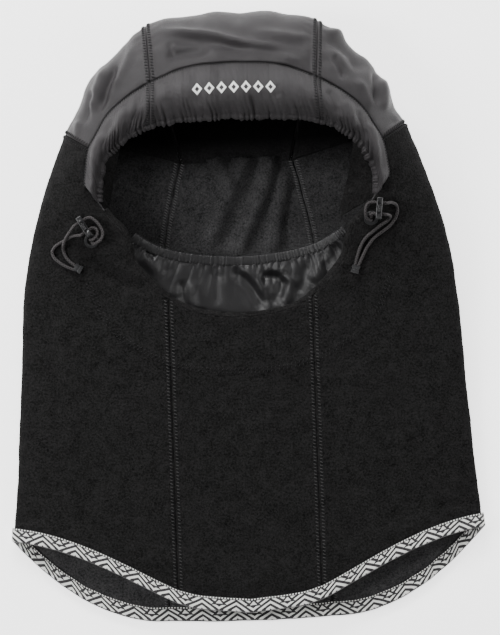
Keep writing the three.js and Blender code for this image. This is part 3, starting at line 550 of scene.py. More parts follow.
def folds(x, y, lines):
    """Height of soft creases drawn on the plan. Each has its points, its half width and its height."""
    total = np.zeros(x.shape)
    for points, width, height in lines:
        line = Curve(points)(np.linspace(0, len(points) - 1, 8 * (len(points) - 1) + 1))
        best, share = np.full(x.shape, 1e9), np.zeros(x.shape)
        for k, (a, b) in enumerate(zip(line[:-1], line[1:])):
            step = b - a
            u = np.clip(((x - a[0]) * step[0] + (y - a[1]) * step[1]) / step.dot(step), 0, 1)
            far = np.hypot(x - a[0] - u * step[0], y - a[1] - u * step[1])
            share = np.where(far < best, (k + u) / (len(line) - 1), share)
            best = np.minimum(far, best)
        total += height * np.exp(-((best / width) ** 2)) * smooth(0, 0.25, share) * smooth(1, 0.75, share)
    return total


def pleats(run, pitch, seed):
    """Gathers along a seam: round ridges between sharp valleys, uneven in width, from 0 to 1."""
    phase = run / pitch + 0.9 * noise_over(run, run * 0, 2.6 * pitch, seed)
    uneven = 0.7 + 0.3 * noise_over(run, run * 0, 1.7 * pitch, seed + 1)
    return np.abs(np.sin(np.pi * phase)) ** 0.75 * uneven


def normals(grid):
    return unit(np.cross(np.gradient(grid, axis=0), np.gradient(grid, axis=1)))


def push(grid, height):
    return grid + normals(grid) * np.asarray(height)[..., None]


def runs(grid, axis):
    """Distance along the rows or the columns of a grid, from its first edge."""
    steps = np.linalg.norm(np.diff(grid, axis=axis), axis=-1)
    pad = [(1, 0), (0, 0)] if axis == 0 else [(0, 0), (1, 0)]
    return np.pad(np.cumsum(steps, axis=axis), pad)


def to_edges(grid, axis):
    """Distance to the nearer of the two edges across that axis."""
    run = runs(grid, axis)
    end = run[-1:] if axis == 0 else run[:, -1:]
    return np.minimum(run, end - run)


def cloth(name, grid, thick, node, slot, finish, inside=None):
    """A sheet of cloth: its outer face is the grid, and its thickness lies behind. U runs along the columns and
    V along the rows, in millimetres. It is cut to the size that the face has when it is laid out flat. inside is
    the finish of the other face."""
    n, m = grid.shape[:2]
    inner = grid - normals(grid) * thick
    ids = np.arange(n * m).reshape(n, m)
    a, b, c, d = ids[:-1, :-1], ids[1:, :-1], ids[1:, 1:], ids[:-1, 1:]
    front = np.stack([a, b, c, d], axis=-1).reshape(-1, 4)
    back = front[:, ::-1] + n * m
    border = np.concatenate([ids[:-1, 0], ids[-1, :-1], ids[:0:-1, -1], ids[0, :0:-1]])
    following = np.roll(border, -1)
    wall = np.stack([following, border, border + n * m, following + n * m], axis=-1)
    faces = np.concatenate([front, back, wall])
    flat_uv = np.stack([runs(grid, 1), runs(grid, 0)], axis=-1).reshape(-1, 2)
    obj = put_mesh(name, np.concatenate([grid.reshape(-1, 3), inner.reshape(-1, 3)]), faces.tolist(),
                   np.concatenate([flat_uv, flat_uv])[faces.ravel()])
    settle(obj, finish, slot, "hood", *([node] if node else []))
    if inside:
        obj.data.materials.append(inside.material)
        behind = np.arange(len(faces)) >= len(front)
        obj.data.polygons.foreach_set("material_index", behind.astype(np.int32))
    one, other = grid[1:, 1:] - grid[:-1, :-1], grid[1:, :-1] - grid[:-1, 1:]


def nylon(name, printed=None):
    """Woven nylon: fine threads both ways, soft streaks and a dull shine. printed says where it is printed."""
    colour, print_white = (0.026, 0.0238, 0.0253), (0.78, 0.78, 0.77, 1)
    finish = Finish(name, colour, 0.48, sheen_weight=0.02, sheen_roughness=0.35, specular_ior_level=0.28)
    across, down = finish.uv()
    weave = (across * 9).sin() * (down * 9).sin()
    streaks = finish.noise(1.1, 3, (1, 0.12, 1), 0.65) * 0.5 + finish.noise(1.3, 3, (0.12, 1, 1), 0.65) * 0.5
    soft = finish.noise(16, 2)
    dark, light = [(*(c * k for c in colour), 1) for k in (0.72, 1.32)]
    cloth_colour = finish.blend(streaks * 0.9 + soft * 0.3 + weave * 0.12 - 0.1, dark, light)
    if printed:
        cloth_colour = finish.blend(printed(finish), cloth_colour, print_white)
    finish.feed("Base Color", cloth_colour)
    finish.feed("Roughness", 0.36 + streaks * 0.22)
    finish.bump(streaks * 0.9 + weave * 0.25, 0.22)
    return finish


nylon_shell = nylon("nylon_shell")


def inner_edge(t):
    t = np.asarray(t, float)
    i = np.minimum(t.astype(int), hem - 1)
    straight = mix(ribs[i, 0:2], ribs[i + 1, 0:2], (t - i)[..., None])
    return np.where((t <= chin_corner)[..., None], upper_inner(t), straight)


def nylon_back(t):
    i = np.minimum(np.asarray(t, float).astype(int), nylon_seam - 1)
    return mix(ribs[i, 4:6], ribs[i + 1, 4:6], (t - i)[..., None])


def hem_rise(t):
    """The hem tape is thicker than the fabric, so the fabric rises to leave it room underneath."""
    return 1.0 * smooth(hem - 0.75, hem - 0.42, t)


def hood_rows(t, back, front, wrap, flat, start=0.0):
    """The hood's outer face: a row for each rib, from its inner edge over the side fold to its back edge."""
    inner, fold = inner_edge(t), fold_curve(t)
    late, rise = smooth(hem - 2, hem, t)[:, None], hem_rise(t)[:, None]
    high = fold_height(fold[:, 1])[:, None]
    share = np.sin(mix(start, 1, np.linspace(0, 1, front + 1)) * np.pi / 2)
    x = mix(inner[:, :1], fold[:, :1], share)
    y = mix(inner[:, 1:], fold[:, 1:], share) + late * 30 * share**1.5 * (1 - share)
    z = top_height(x, y)
    z[:, -1:] = high
    reach = np.linalg.norm(back - fold, axis=1)[:, None]
    towards = unit(back - fold)
    bend = np.minimum(high * 0.9, reach * 0.8)
    angle = np.linspace(0, np.pi / 2, wrap + 1)[None, 1:]
    lying = mix(bend, reach, np.linspace(0, 1, flat + 1)[None, 1:])
    away = np.concatenate([bend * (1 - np.cos(angle)), lying], axis=1)
    under = np.concatenate([high * (1 - np.sin(angle)), np.zeros((len(t), flat))], axis=1)
    q = away / reach
    x2 = fold[:, :1] + towards[:, :1] * away
    y2 = fold[:, 1:] + towards[:, 1:] * away - late * 14.4 * 4 * q * (1 - q)
    return np.stack([np.hstack([x, x2]), np.hstack([y, y2]), np.hstack([z, under]) + rise], axis=-1)


crown_folds = [
    ([(-54, 184), (-20, 181), (4, 175), (42, 168.5)], 2.4, 1.7),
    ([(-50, 177), (-18, 175.5), (12, 170), (38, 164)], 3.4, -1.3),
    ([(-44, 166), (-30, 169), (-12, 171)], 3.4, -1.7), ([(-41, 176), (-38, 169)], 1.6, -0.8),
    ([(10, 181), (34, 178), (52, 176)], 3, 1.0), ([(6, 169.5), (22, 167.5), (46, 160)], 2.6, 0.9),
    ([(57, 182), (76, 173), (91, 154)], 2.2, 1.8), ([(56, 176), (70, 169), (84, 152)], 3, -1.4),
    ([(63, 166), (68, 158), (72, 149)], 2.4, -1.2), ([(90, 156), (91, 144), (90, 131)], 2.2, -1.5),
    ([(94, 150), (96, 140), (97, 126)], 2.8, 1.3), ([(78, 150), (84, 140), (88, 128)], 2.6, 0.9),
    ([(-74, 165), (-80, 150), (-87, 131)], 2.2, -1.6), ([(-80, 163), (-87, 148), (-93, 132)], 2.6, 1.4),
    ([(-89, 148), (-93, 138), (-97, 124)], 2, -1.1), ([(-62, 178), (-70, 160), (-78, 146)], 3, 1.0),
    ([(-99, 130), (-101, 122), (-102, 114)], 2, 0.8),
]


def crown_relief(grid, seams):
    """Creases, soft unevenness and a raised band along each seam, with the pucker of its stitches."""
    x, y = grid[..., 0], grid[..., 1]
    front = smooth(2, 9, grid[..., 2])
    relief = 1.9 * folds(x, y, crown_folds) * front + 0.65 * noise_over(x, y, 13, 3) * front
    relief += 0.2 * noise_over(x, y, 5, 8)
    for edge, run in seams:
        band = np.exp(-((edge / 3.4) ** 4))
        relief = relief * (1 - 0.6 * band) + 0.55 * band - 0.5 * np.exp(-((edge / 0.6) ** 2))
        relief += 0.4 * np.exp(-(((edge - 5.5) / 4) ** 2)) * (pleats(run, 7, 31) - 0.5)
    return relief


root_dip = 0.35  # depth of the groove where a panel meets the brim
centre_t = np.linspace(-crown_seam, crown_seam, 97)
crown_centre_grid = hood_rows(np.abs(centre_t), nylon_back(np.abs(centre_t)), 36, 12, 56)
crown_centre_grid[..., 0] *= np.where(centre_t < 0, -1, 1)[:, None]
crown_side_t = np.linspace(crown_seam, nylon_seam, 85)
crown_side_grid = hood_rows(crown_side_t, nylon_back(crown_side_t), 36, 12, 44)
crown_grids = {}
for name, grid in (("crown_centre_panel", crown_centre_grid), ("crown_panel_right", crown_side_grid),
                   ("crown_panel_left", crown_side_grid[::-1] * [-1, 1, 1])):
    relief = crown_relief(grid, [(to_edges(grid, 0), runs(grid, 1))])
    relief -= root_dip * np.exp(-((runs(grid, 1) / 1.2) ** 2))
    crown_grids[name] = push(grid, relief)
    cloth(name.replace("_panel", "_shell"), crown_grids[name], nylon_thick, name, "nylon_shell", nylon_shell)

# ---------- crown lining ----------
# Brushed fleece under the nylon, cut to the same three shapes. Its colour is painted darker into the depth of the
# hood, as painted shade under the brim, and it laps over the fleece behind it.


def fleece(name, dark, light, sheen, painted_shade_from=None):
    """Brushed fleece: a short matt nap that clumps into specks. Past the y given by its last argument, in mm, the
    colour is painted darker, as painted shade under the brim.
    """
    finish = Finish(name, light, 0.95, sheen_weight=sheen, sheen_roughness=0.55, specular_ior_level=0.06)
    specks = finish.noise(1.25, 4, rough=0.8)
    clumps = finish.noise(7, 2)
    share = specks * 2.9 + clumps * 0.6 - 1.25
    colour = finish.blend(share, (*dark, 1), (*light, 1))
    # Painted shade: the colour fades to near black towards the crown, where the brim shades the inside of the
    # hood.
    if painted_shade_from:
        painted_shade_span = 26  # mm over which the painted shade darkens it
        height = finish.node("ShaderNodeSeparateXYZ", None, [finish.place], output=1) * 1000
        colour = finish.blend((height - painted_shade_from) * (1 / painted_shade_span), colour, (0.0015, 0.0015, 0.0016, 1))
    finish.feed("Base Color", colour)
    finish.bump(specks + finish.noise(0.7, 2) * 0.5, 0.7, 0.9)
    return finish


# The lining is painted darker from y = 88 mm on, as painted shade under the brim.
brushed_lining = fleece("brushed_lining", (0.004, 0.004, 0.0042), (0.04, 0.039, 0.04), 0.01, painted_shade_from=88)
lining_thick = 1.6
lining_lap = 2.6  # how far the lining runs on over the fleece behind it
for name, t, ends in (("centre", centre_t, (0.06, 0.06)), ("right", crown_side_t, (0.06, 0.3)),
                      ("left", crown_side_t, (0.06, 0.3))):
    t = np.linspace(t[0] + ends[0], t[-1] - ends[1], 49)
    end = nylon_back(np.abs(t))
    end = end + unit(end - fold_curve(np.abs(t))) * lining_lap
    grid = hood_rows(np.abs(t), end, 20, 10, 24, start=0.14)
    if name == "centre":
        grid[..., 0] *= np.where(t < 0, -1, 1)[:, None]
    if name == "left":
        grid = grid[::-1] * [-1, 1, 1]
    grid = push(grid, np.minimum(crown_relief(grid, []), 0) - nylon_thick - 2 * gap)
    cloth(f"crown_fleece_{name}", grid, lining_thick, f"crown_lining_{name}", "brushed_lining",
          brushed_lining)

# ---------- fleece panels of the neck ----------
# Two sides that run round the folds to the back, and a front and a back panel between them, all of brushed
# fleece. The flat seams that join them stand a little proud, and the nap hides everything but the stitches.
fleece_black = fleece("fleece_black", (0.0015, 0.0015, 0.0015), (0.021, 0.0205, 0.0205), 0.01)
# The inner faces of the fleece are painted darker from y = 86 mm on, as painted shade inside the hood under the
# brim.
fleece_inside = fleece("fleece_inside", (0.012, 0.012, 0.0122), (0.075, 0.074, 0.076), 0.02, painted_shade_from=86)
fleece_folds = [
    ([(-95, 42), (-88, 32), (-78, 24), (-64, 20), (-52, 22)], 4.5, -1.5),
    ([(-88, 47), (-80, 36), (-70, 30)], 6, 1.2), ([(-99, 78), (-98, 66), (-89, 53), (-78, 44)], 1.8, -0.8),
    ([(99, 76), (97, 62), (88, 50), (77, 42)], 2.2, -0.6), ([(80, 63), (90, 67)], 1.2, -0.5),
    ([(-121, 40), (-122, -20), (-120, -90), (-117, -128)], 3, -0.8),
    ([(-113, 30), (-114, -40), (-112, -110)], 5, 0.6),
    ([(108, 45), (111, -10), (114, -80), (117, -120)], 4, -0.6),
    ([(122, 60), (125, 0), (128, -70)], 5, 0.6), ([(74, 30), (80, -20), (84, -80)], 7, 0.7),
    ([(-78, -30), (-82, -90), (-84, -150)], 8, 0.7), ([(20, -20), (12, -80), (18, -150)], 9, 0.5),
    ([(-22, -40), (-16, -100), (-20, -160)], 9, 0.5),
    ([(97, 24), (88, 2.5), (78, -10.5), (64, -19.5), (48, -28), (25, -33.3), (0, -35)], 1.7, 0.75),
    ([(-97, 24), (-88, 2.5), (-78, -10.5), (-64, -19.5), (-48, -28), (-25, -33.3), (0, -35)], 1.7, 0.75),
]
inside_folds = [  # ridges in the slack back panel, seen through the face opening
    ([(9, 118), (5, 100), (-5, 80), (-16, 56), (-20, 36)], 5.5, 7.0),
    ([(23, 116), (21, 96), (15, 76), (4, 54), (-2, 34)], 4.8, 6.6),
    ([(-21, 118), (-16, 104), (-7, 90), (-2, 76)], 3.6, 4.0),
    ([(33, 96), (28, 76), (24, 56), (22, 36)], 4.2, 4.4), ([(-8, 116), (-9, 104), (-13, 92)], 3, 2.0),
    ([(-32, 72), (-35, 56), (-33, 36)], 5, 1.8),
]


def seam_relief(distance, run):
    """A flat seam: a low raised band with a narrow join in the middle, and a slight pucker beside it."""
    band = np.exp(-((distance / 3.6) ** 4))
    pucker = (pleats(run, 9, 17) - 0.5) * np.exp(-(((distance - 6) / 5) ** 2))
    return 0.35 * band - 0.7 * np.exp(-((distance / 0.7) ** 2)) + 0.3 * pucker


def nap(x, y):
    """The fine unevenness of a brushed face."""
    draw = np.random.default_rng(5)
    return 0.22 * noise_over(x, y, 9, 21) + 0.35 * noise_over(x, y, 34, 23) + 0.07 * draw.normal(size=x.shape)


side_t = np.concatenate([np.linspace(nylon_seam, chin_corner, 130), np.linspace(chin_corner, hem, 151)[1:]])
side_base = hood_rows(side_t, back_curve(side_t - nylon_seam), 74, 14, 40)
front_x = np.linspace(-front_seam, front_seam, 79)
rim_y = through([(0, -0.4), (18, 0.8), (34, 4.8), (front_seam, 11.8)])
hem_y = through([(0, -188.5), (33, -185), (front_seam, -181.3)])
share = np.linspace(0, 1, 151)[:, None]
front_y = mix(rim_y(np.abs(front_x)), hem_y(np.abs(front_x)), share)
front_base = on_top(np.stack([front_x + 0 * share, front_y], axis=-1))
front_base[..., 2] += hem_rise(hem - (1 - share) * 4)
back_t = np.linspace(nylon_seam, hem, 211)
back_edge = back_curve(back_t - nylon_seam)
across_back = np.linspace(1, -1, 91)
back_hem = through([(0, -193.7), (26, -193.5), (52, -192.3)])
back_x = back_edge[:, :1] * across_back
drop = smooth(hem - 1, hem, back_t)[:, None] * (back_hem(np.abs(back_x)) - back_hem(back_edge[-1, 0]))
back_base = np.stack([back_x, back_edge[:, 1:] + drop, hem_rise(back_t)[:, None] + 0 * back_x], axis=-1)

fleece_grids = {}
for name, grid in (("side_panel_right", side_base), ("side_panel_left", side_base[::-1] * [-1, 1, 1]),
                   ("neck_front_panel", front_base), ("neck_back_panel", back_base)):
    x, y, z = np.moveaxis(grid, -1, 0)
    calm = smooth(0, 26, y + 188)  # the tape holds the cloth flat along the hem
    relief = nap(x, y) * mix(0.4, 1, calm)
    if name == "neck_back_panel":
        relief = relief - folds(x, y, inside_folds) * smooth(20, 44, y) * smooth(123, 108, y)
        relief += seam_relief(to_edges(grid, 1), runs(grid, 0))
        relief = np.minimum(relief, 0)  # it lies on the floor, so it only rises inwards
    elif name == "neck_front_panel":
        relief += folds(x, y, fleece_folds) + seam_relief(to_edges(grid, 1), runs(grid, 0))
    else:
        front = smooth(1, 6, z)
        t = side_t if name.endswith("right") else side_t[::-1]
        at_seam = smooth(chin_corner - 0.3, chin_corner + 0.2, t)[:, None]
        relief = relief * mix(0.5, 1, front) + folds(x, y, fleece_folds) * front
        relief += seam_relief(runs(grid, 1), runs(grid, 0)) * at_seam
        nylon_run = runs(grid, 0) if name.endswith("right") else runs(grid[::-1], 0)[::-1]
        relief += seam_relief(nylon_run, runs(grid, 1)) * front
    fleece_grids[name] = push(grid, relief)
    cloth(name.replace("_panel", "_fleece"), fleece_grids[name], fleece_thick, name, "fleece", fleece_black,
          fleece_inside)

# ---------- brim ----------
# The raised band round the top of the opening: three pieces of the nylon, padded by their own fullness. The
# edge turns under over a drawcord, which gathers it into short pleats. A row of lozenges is printed on it.
lip_radius, lip_return, brim_puff = 3.4, 5.0, 10.0
brim_edge = Curve([(0, 128.4), (29, 127.6), (54.3, 124.4), (68.7, 117.7), (79.2, 109.6), (85.2, 101.5),
                   (87.9, 93), (89.1, 84.5), (89.2, 75.8)])
opening_middle = np.array([0.0, 70.0])


def edge_frames(curve, u):
    """Points of a turned edge and, for each, the way in plan that leads away from the opening."""
    at = curve(u)
    tangent = curve(u + 0.01) - curve(u - 0.01)
    away = unit(np.stack([tangent[:, 1], -tangent[:, 0]], axis=1))
    return at, np.where(((at - opening_middle) * away).sum(axis=1, keepdims=True) < 0, -away, away)


def turned_edge(at, away, angles, radius=lip_radius):
    """Rows of points over the top of the edge, round it and underneath."""
    middle = on_top(at, -lip_radius)[:, None]
    away3 = np.concatenate([away, np.zeros((len(away), 1))], axis=1)[:, None]
    beside, above = ((f(angles) * radius)[None, :, None] for f in (np.sin, np.cos))
    return middle - away3 * beside + np.array([0, 0, 1]) * above


def brim_rows(t, across=40, round_lip=16, under=6):
    u = np.abs(t)
    at, away = edge_frames(brim_edge, np.minimum(u, brim_root))
    root = inner_edge(u)
    share = u / brim_root
    w = np.linspace(0, 1, across + 1)[:-1]
    plan = mix(root[:, None], at[:, None], w[None, :, None])
    rows = on_top(plan)
    rows[..., 2] += brim_puff * mix(1, 0.45, share)[:, None] * np.sin(np.pi * w * 0.98)[None] ** 0.9
    lip = turned_edge(at, away, np.linspace(0, np.pi, round_lip))
    away3 = np.concatenate([away, np.zeros((len(away), 1))], axis=1)[:, None]
    tail = lip[:, -1:] + away3 * (np.linspace(0, lip_return, under + 1)[1:])[None, :, None]
    rows = np.concatenate([rows, lip, tail], axis=1)
    rows[..., 0] *= np.where(t < 0, -1, 1)[:, None]
    return rows[:, ::-1]


brim_folds = [
    ([(-28, 160), (-22, 146), (-25, 133)], 3.5, -0.9), ([(-9, 158), (-8, 151)], 2, -0.8),
    ([(9, 141), (12, 133), (11, 126)], 2, -0.5), ([(25, 146), (28, 138)], 2.5, -0.7),
    ([(43, 152), (41, 138), (43, 128)], 3, 0.9), ([(-44, 152), (-43, 138)], 3, 0.8),
    ([(60, 144), (64, 136), (67, 124)], 3, -1.6), ([(70, 137), (74, 128), (77, 114)], 3.2, 1.5),
    ([(78, 130), (81, 121), (84, 108)], 2.6, -1.5), ([(85, 122), (89, 112), (90, 96)], 2.4, 1.3),
    ([(91, 112), (94, 100), (93, 86)], 2, -1.2), ([(-58, 146), (-62, 134), (-64, 122)], 3, -1.4),
    ([(-68, 138), (-73, 128), (-76, 115)], 3, 1.2), ([(-77, 130), (-83, 120), (-86, 106)], 2.4, -1.3),
    ([(-84, 122), (-90, 108), (-91, 92)], 2.4, 1.4), ([(-92, 110), (-95, 98), (-94, 84)], 1.8, -1.1),
]


def lozenges(finish):
    """A row of seven hollow lozenges along the middle of the brim, following its curve."""
    pitch, half_row, row_height, row_bend = 7.8, 27.3, 146, 0.0012
    x = finish.node("ShaderNodeSeparateXYZ", None, [finish.place]) * 1000
    y = finish.node("ShaderNodeSeparateXYZ", None, [finish.place], output=1) * 1000
    beside = abs((x + half_row) % pitch - pitch / 2)
    above = abs(y - row_height + x * x * row_bend)
    size = beside * (1 / 3.3) + above * (1 / 3.9)
    return (size < 1) * (size > 0.45) * (abs(x) < half_row)


brim_printed = nylon("nylon_printed", lozenges)
brim_grids = {}
for name, low, high, count, offset in (
    ("brim_centre", -crown_seam, crown_seam, 201, 0), ("brim_right", crown_seam, brim_root, 241, 300),
    ("brim_left", -brim_root, -crown_seam, 241, 600),
):
    t = np.linspace(low, high, count)
    grid = brim_rows(t)
    x, y, z = np.moveaxis(grid, -1, 0)
    mirror = np.stack([np.where(t < 0, -1, 1), np.ones(len(t))], axis=1)
    full_edge = brim_edge(np.minimum(np.abs(t), brim_root)) * mirror
    run = np.concatenate([[0], np.cumsum(np.linalg.norm(np.diff(full_edge, axis=0), axis=1))])[:, None]
    run = run + offset  # so that each piece has pleats of its own
    w = 1 - np.maximum(0, np.arange(grid.shape[1]) - 22) / 40  # 1 from the edge on, 0 at the brim's seam
    w = w[None, :]
    narrow = 1 - 0.45 * smooth(3, brim_root, np.abs(t))[:, None]
    slant = (1 - w) * 9 * np.where(name == "brim_left", -1, 1)
    gathers = pleats(run + slant, 4.6, 41) - 0.55 + 0.5 * (pleats(run + 1.4 * slant, 2.7, 45) - 0.5)
    long_gathers = pleats(run + 0.4 * slant, 9.5, 43) - 0.5
    relief = gathers * mix(0.15, 2.0, smooth(0.5, 1, w)) * narrow
    relief = relief + long_gathers * 0.8 * smooth(0.05, 0.8, w) * narrow
    inland = smooth(0, 0.3, w)
    relief += 1.3 * folds(x, y, brim_folds) * inland + 0.5 * noise_over(x, y, 11, 51) * inland
    edge = {"brim_centre": to_edges(grid, 0), "brim_right": runs(grid, 0),
            "brim_left": runs(grid[::-1], 0)[::-1]}[name]
    band = np.exp(-((edge / 3.2) ** 4))
    relief = relief * (1 - 0.55 * band) + 0.5 * band - 0.5 * np.exp(-((edge / 0.6) ** 2))
    relief -= 0.5 * np.exp(-((w / 0.05) ** 2))
    if name != "brim_centre":
        tip = smooth(brim_root, brim_root - 0.5, np.abs(t))[:, None]
        relief *= mix(0.3, 1, tip)
    brim_grids[name] = push(grid, relief)
    cloth(name + "_shell", brim_grids[name], nylon_thick, name, "nylon_shell",
          brim_printed if name == "brim_centre" else nylon_shell)

at, away = edge_frames(brim_edge, np.linspace(0, brim_root - 0.8, 81))
root = inner_edge(np.linspace(0, brim_root - 0.8, 81))
away3 = np.concatenate([away, np.zeros((81, 1))], axis=1)
first = on_top(at, -2 * lip_radius) + away3 * (lip_return + 2 * gap)
last = on_top(root, -nylon_thick - gap - 1.5) - away3 * 1.2
half = mix(first[:, None], last[:, None], np.linspace(0, 1, 21)[None, :, None])
whole = np.concatenate([half[:0:-1] * [-1, 1, 1], half])[:, ::-1]
whole = push(whole, 0.35 * noise_over(whole[..., 0], whole[..., 1], 8, 61) - 0.2)
# The facing under the brim takes the lining finish, and with it the painted shade.
cloth("brim_fleece", whole, 1.5, "brim_facing", "brushed_lining", brushed_lining)

# ---------- chin facing ----------
# A strip of fleece turned over the rim under the chin, round the lower drawcord and down inside the front,
# where the U-shaped line of its seam shows faintly through.
rim_points = [*ribs[brim_end : chin_corner + 1, 0:2].tolist(), (34, 4.8), (18, 0.8), (0, -0.4)]
rim_curve = Curve(rim_points + [(-x, y) for x, y in rim_points[-2::-1]])
facing_depth = fleece_thick + 3 * gap + 1.5
reach = np.linspace(0.03, 0.97, 321)
at, away = edge_frames(rim_curve, reach * rim_curve.last)
away3 = np.concatenate([away, np.zeros((len(away), 1))], axis=1)[:, None]
low = np.minimum(reach, 1 - reach)[:, None]
facing_width = mix(8, 35, smooth(0, 0.22, low))
end_depth = mix(2 * lip_radius, facing_depth, smooth(0.12, 0.3, low))
w = np.linspace(0, 1, 31)[None, 1:]
leg = on_top(at[:, None] + away3[..., :2] * (w * facing_width)[..., None])
leg[..., 2] -= mix(2 * lip_radius, end_depth, w)
facing = np.concatenate([turned_edge(at, away, np.linspace(0.02, np.pi, 18)), leg], axis=1)[:, ::-1]
rim_run = runs(facing, 0)
on_lip = np.linspace(0, 1, facing.shape[1])[None] > 0.6
relief = nap(facing[..., 0], facing[..., 1]) + folds(facing[..., 0], facing[..., 1], fleece_folds) * on_lip
relief += 0.5 * (pleats(rim_run, 13, 71) - 0.5) * on_lip
cloth("chin_fleece", push(facing, relief), 1.5, "chin_facing", "fleece", fleece_black)

# ---------- mask ----------
# A smooth stretch panel that pulls up over the nose. Its lower edge is sewn in under the chin, the upper one
# is gathered into a casing with a flat elastic, and it lies slack and puckered in the opening.
stretch_knit = Finish("stretch_knit", (0.02, 0.019, 0.021), 0.5, specular_ior_level=0.36, sheen_weight=0.02,
                      sheen_roughness=0.4)
across, down = stretch_knit.uv()
wales = (down * 8).sin() * 0.5 + (across * 11).sin() * 0.25
grain = stretch_knit.noise(0.9, 3)
stretch_knit.feed("Base Color", stretch_knit.blend(
    grain * 0.8 + stretch_knit.noise(11) * 0.4 - 0.1, (0.003, 0.0029, 0.0031, 1), (0.012, 0.0115, 0.0125, 1)))
stretch_knit.feed("Roughness", grain * 0.16 + 0.34)
stretch_knit.bump(wales * 0.3 + grain, 0.1)


def both_sides(points):
    return Curve([(-x, y) for x, y in points[:0:-1]] + points)


mask_top = both_sides([(0, 38.6), (16, 39.4), (32, 41.5), (47.5, 45.3), (58, 50.4), (66.5, 56)])
mask_seam = both_sides([(0, -33), (24, -31.5), (46, -26), (66, -12), (80, 8), (84, 36)])
casing_width, casing_wall, casing_fold = 6.4, 0.5, 2.4


def mask_points(share, down):
    outer = smooth(0.4, 0.75, np.abs(2 * share - 1))
    top, seam = mask_top(share * mask_top.last), mask_seam(share * mask_seam.last)
    under = mix(facing_depth + 2 * gap, 2 * lip_radius + 4 * gap, outer)
    low_z = top_height(seam[..., 0], seam[..., 1]) - under
    high_z = mix(20, chin_height + 7.8 - 2 * lip_radius, np.abs(2 * share - 1) ** 2.4)
    return np.concatenate([mix(top, seam, down[..., None]), mix(high_z, low_z, down**3)[..., None]], axis=-1)


mask_share = np.linspace(0.01, 0.99, 301)
first, last = mask_points(mask_share, 0 * mask_share), mask_points(mask_share, 0 * mask_share + 1)
start = (casing_width - 0.4) / np.linalg.norm(last - first, axis=1)
down = mix(start[:, None], 1, np.linspace(0, 1, 91)[None] ** 1.15)
panel = mask_points(mask_share[:, None] + 0 * down, down)[:, ::-1]
mask_run = runs(panel[:, ::-1], 0)[:, :1]
fall = runs(panel[:, ::-1], 1)[:, ::-1]
mask_folds = [  # broad soft folds: their width in mm is the second value of each, their height the third
    ([(-7, 28), (-1, 26), (5, 21), (12, 9), (14, 0)], 3.8, -2.5),
    ([(-3, 32), (6, 27), (11, 20), (18, 8)], 4.1, 1.6), ([(12, 24), (20, 24.5), (27, 24)], 3.1, -2.2),
    ([(29, 25), (25, 16), (20, 5)], 3.5, -1.9), ([(33, 27), (31, 16), (26, 6)], 4.4, 1.6),
    ([(13, 29), (22, 29), (29, 27)], 3.1, 1.2), ([(-70, 44), (-62, 34), (-54, 24)], 3.7, -0.8),
    ([(-63, 44), (-55, 34), (-47, 26)], 4.1, 1.4), ([(-60, 45), (-52, 40)], 2.8, -1.4),
    ([(-45, 32), (-41, 22), (-40, 12)], 4.6, 1.3), ([(-38, 26), (-36, 14), (-34, 4)], 3.1, -1.6),
    ([(-28, 26), (-27, 14), (-26, 2)], 4.6, 0.9), ([(44, 34), (40, 22), (36, 12)], 3.8, -1.4),
    ([(52, 38), (50, 28), (44, 20)], 4.1, 1), ([(-14, 30), (-16, 18), (-15, 6)], 3.5, -0.9),
    ([(64, 46), (60, 36), (54, 28)], 3.1, -1),
]
x, y = panel[..., 0], panel[..., 1]
seen = smooth(46, 30, fall)
relief = (pleats(mask_run + 0 * fall, 4.2, 81) - 0.55) * np.exp(-fall / 6)
relief += (pleats(mask_run + 0.15 * fall, 8.5, 83) - 0.5) * 1.5 * smooth(0, 3, fall) * np.exp(-fall / 15)
relief = (relief + 0.7 * noise_over(x, y, 9, 85) * smooth(0, 8, fall) + folds(x, y, mask_folds)) * seen
cloth("mask_knit", push(panel, relief), 0.8, "mask_panel", "stretch_knit", stretch_knit)

at = mask_points(mask_share, 0 * mask_share)
into = unit(mask_points(mask_share, 0 * mask_share + 0.12) - at)
upwards = unit(np.cross(into, np.gradient(at, axis=0) * [1, 1, 0]))
corner = np.linspace(0, np.pi, 11)[1:-1]
section = [(a, 0.35 * math.sin(math.pi * a / casing_width)) for a in np.linspace(casing_width, 0.6, 14)]
section += [(0.6 - 0.6 * math.sin(c), -casing_fold / 2 * (1 - math.cos(c))) for c in corner]
section += [(a, -casing_fold) for a in np.linspace(0.6, casing_width, 10)]
casing = np.stack([at + into * a + upwards * b for a, b in section], axis=1)
micro = (pleats(runs(casing, 0)[:, :1] + 0 * runs(casing, 1), 2.1, 87) - 0.5) * 0.55
micro *= 0.35 + 0.65 * np.abs(np.cos(np.pi * np.linspace(0, 2.1, len(section))))[None]
cloth("mask_casing_knit", push(casing, micro), casing_wall, "mask_casing", "stretch_knit", stretch_knit)

# The flat elastic stays out of sight in its casing: dull black knitted rubber thread with fine ribs.
elastic = Finish("elastic_band", (0.02, 0.02, 0.02), 0.8)
elastic.bump(elastic.noise(0.6, 2, (1, 4, 1)), 0.1)
elastic.paint(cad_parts["mask_elastic"])

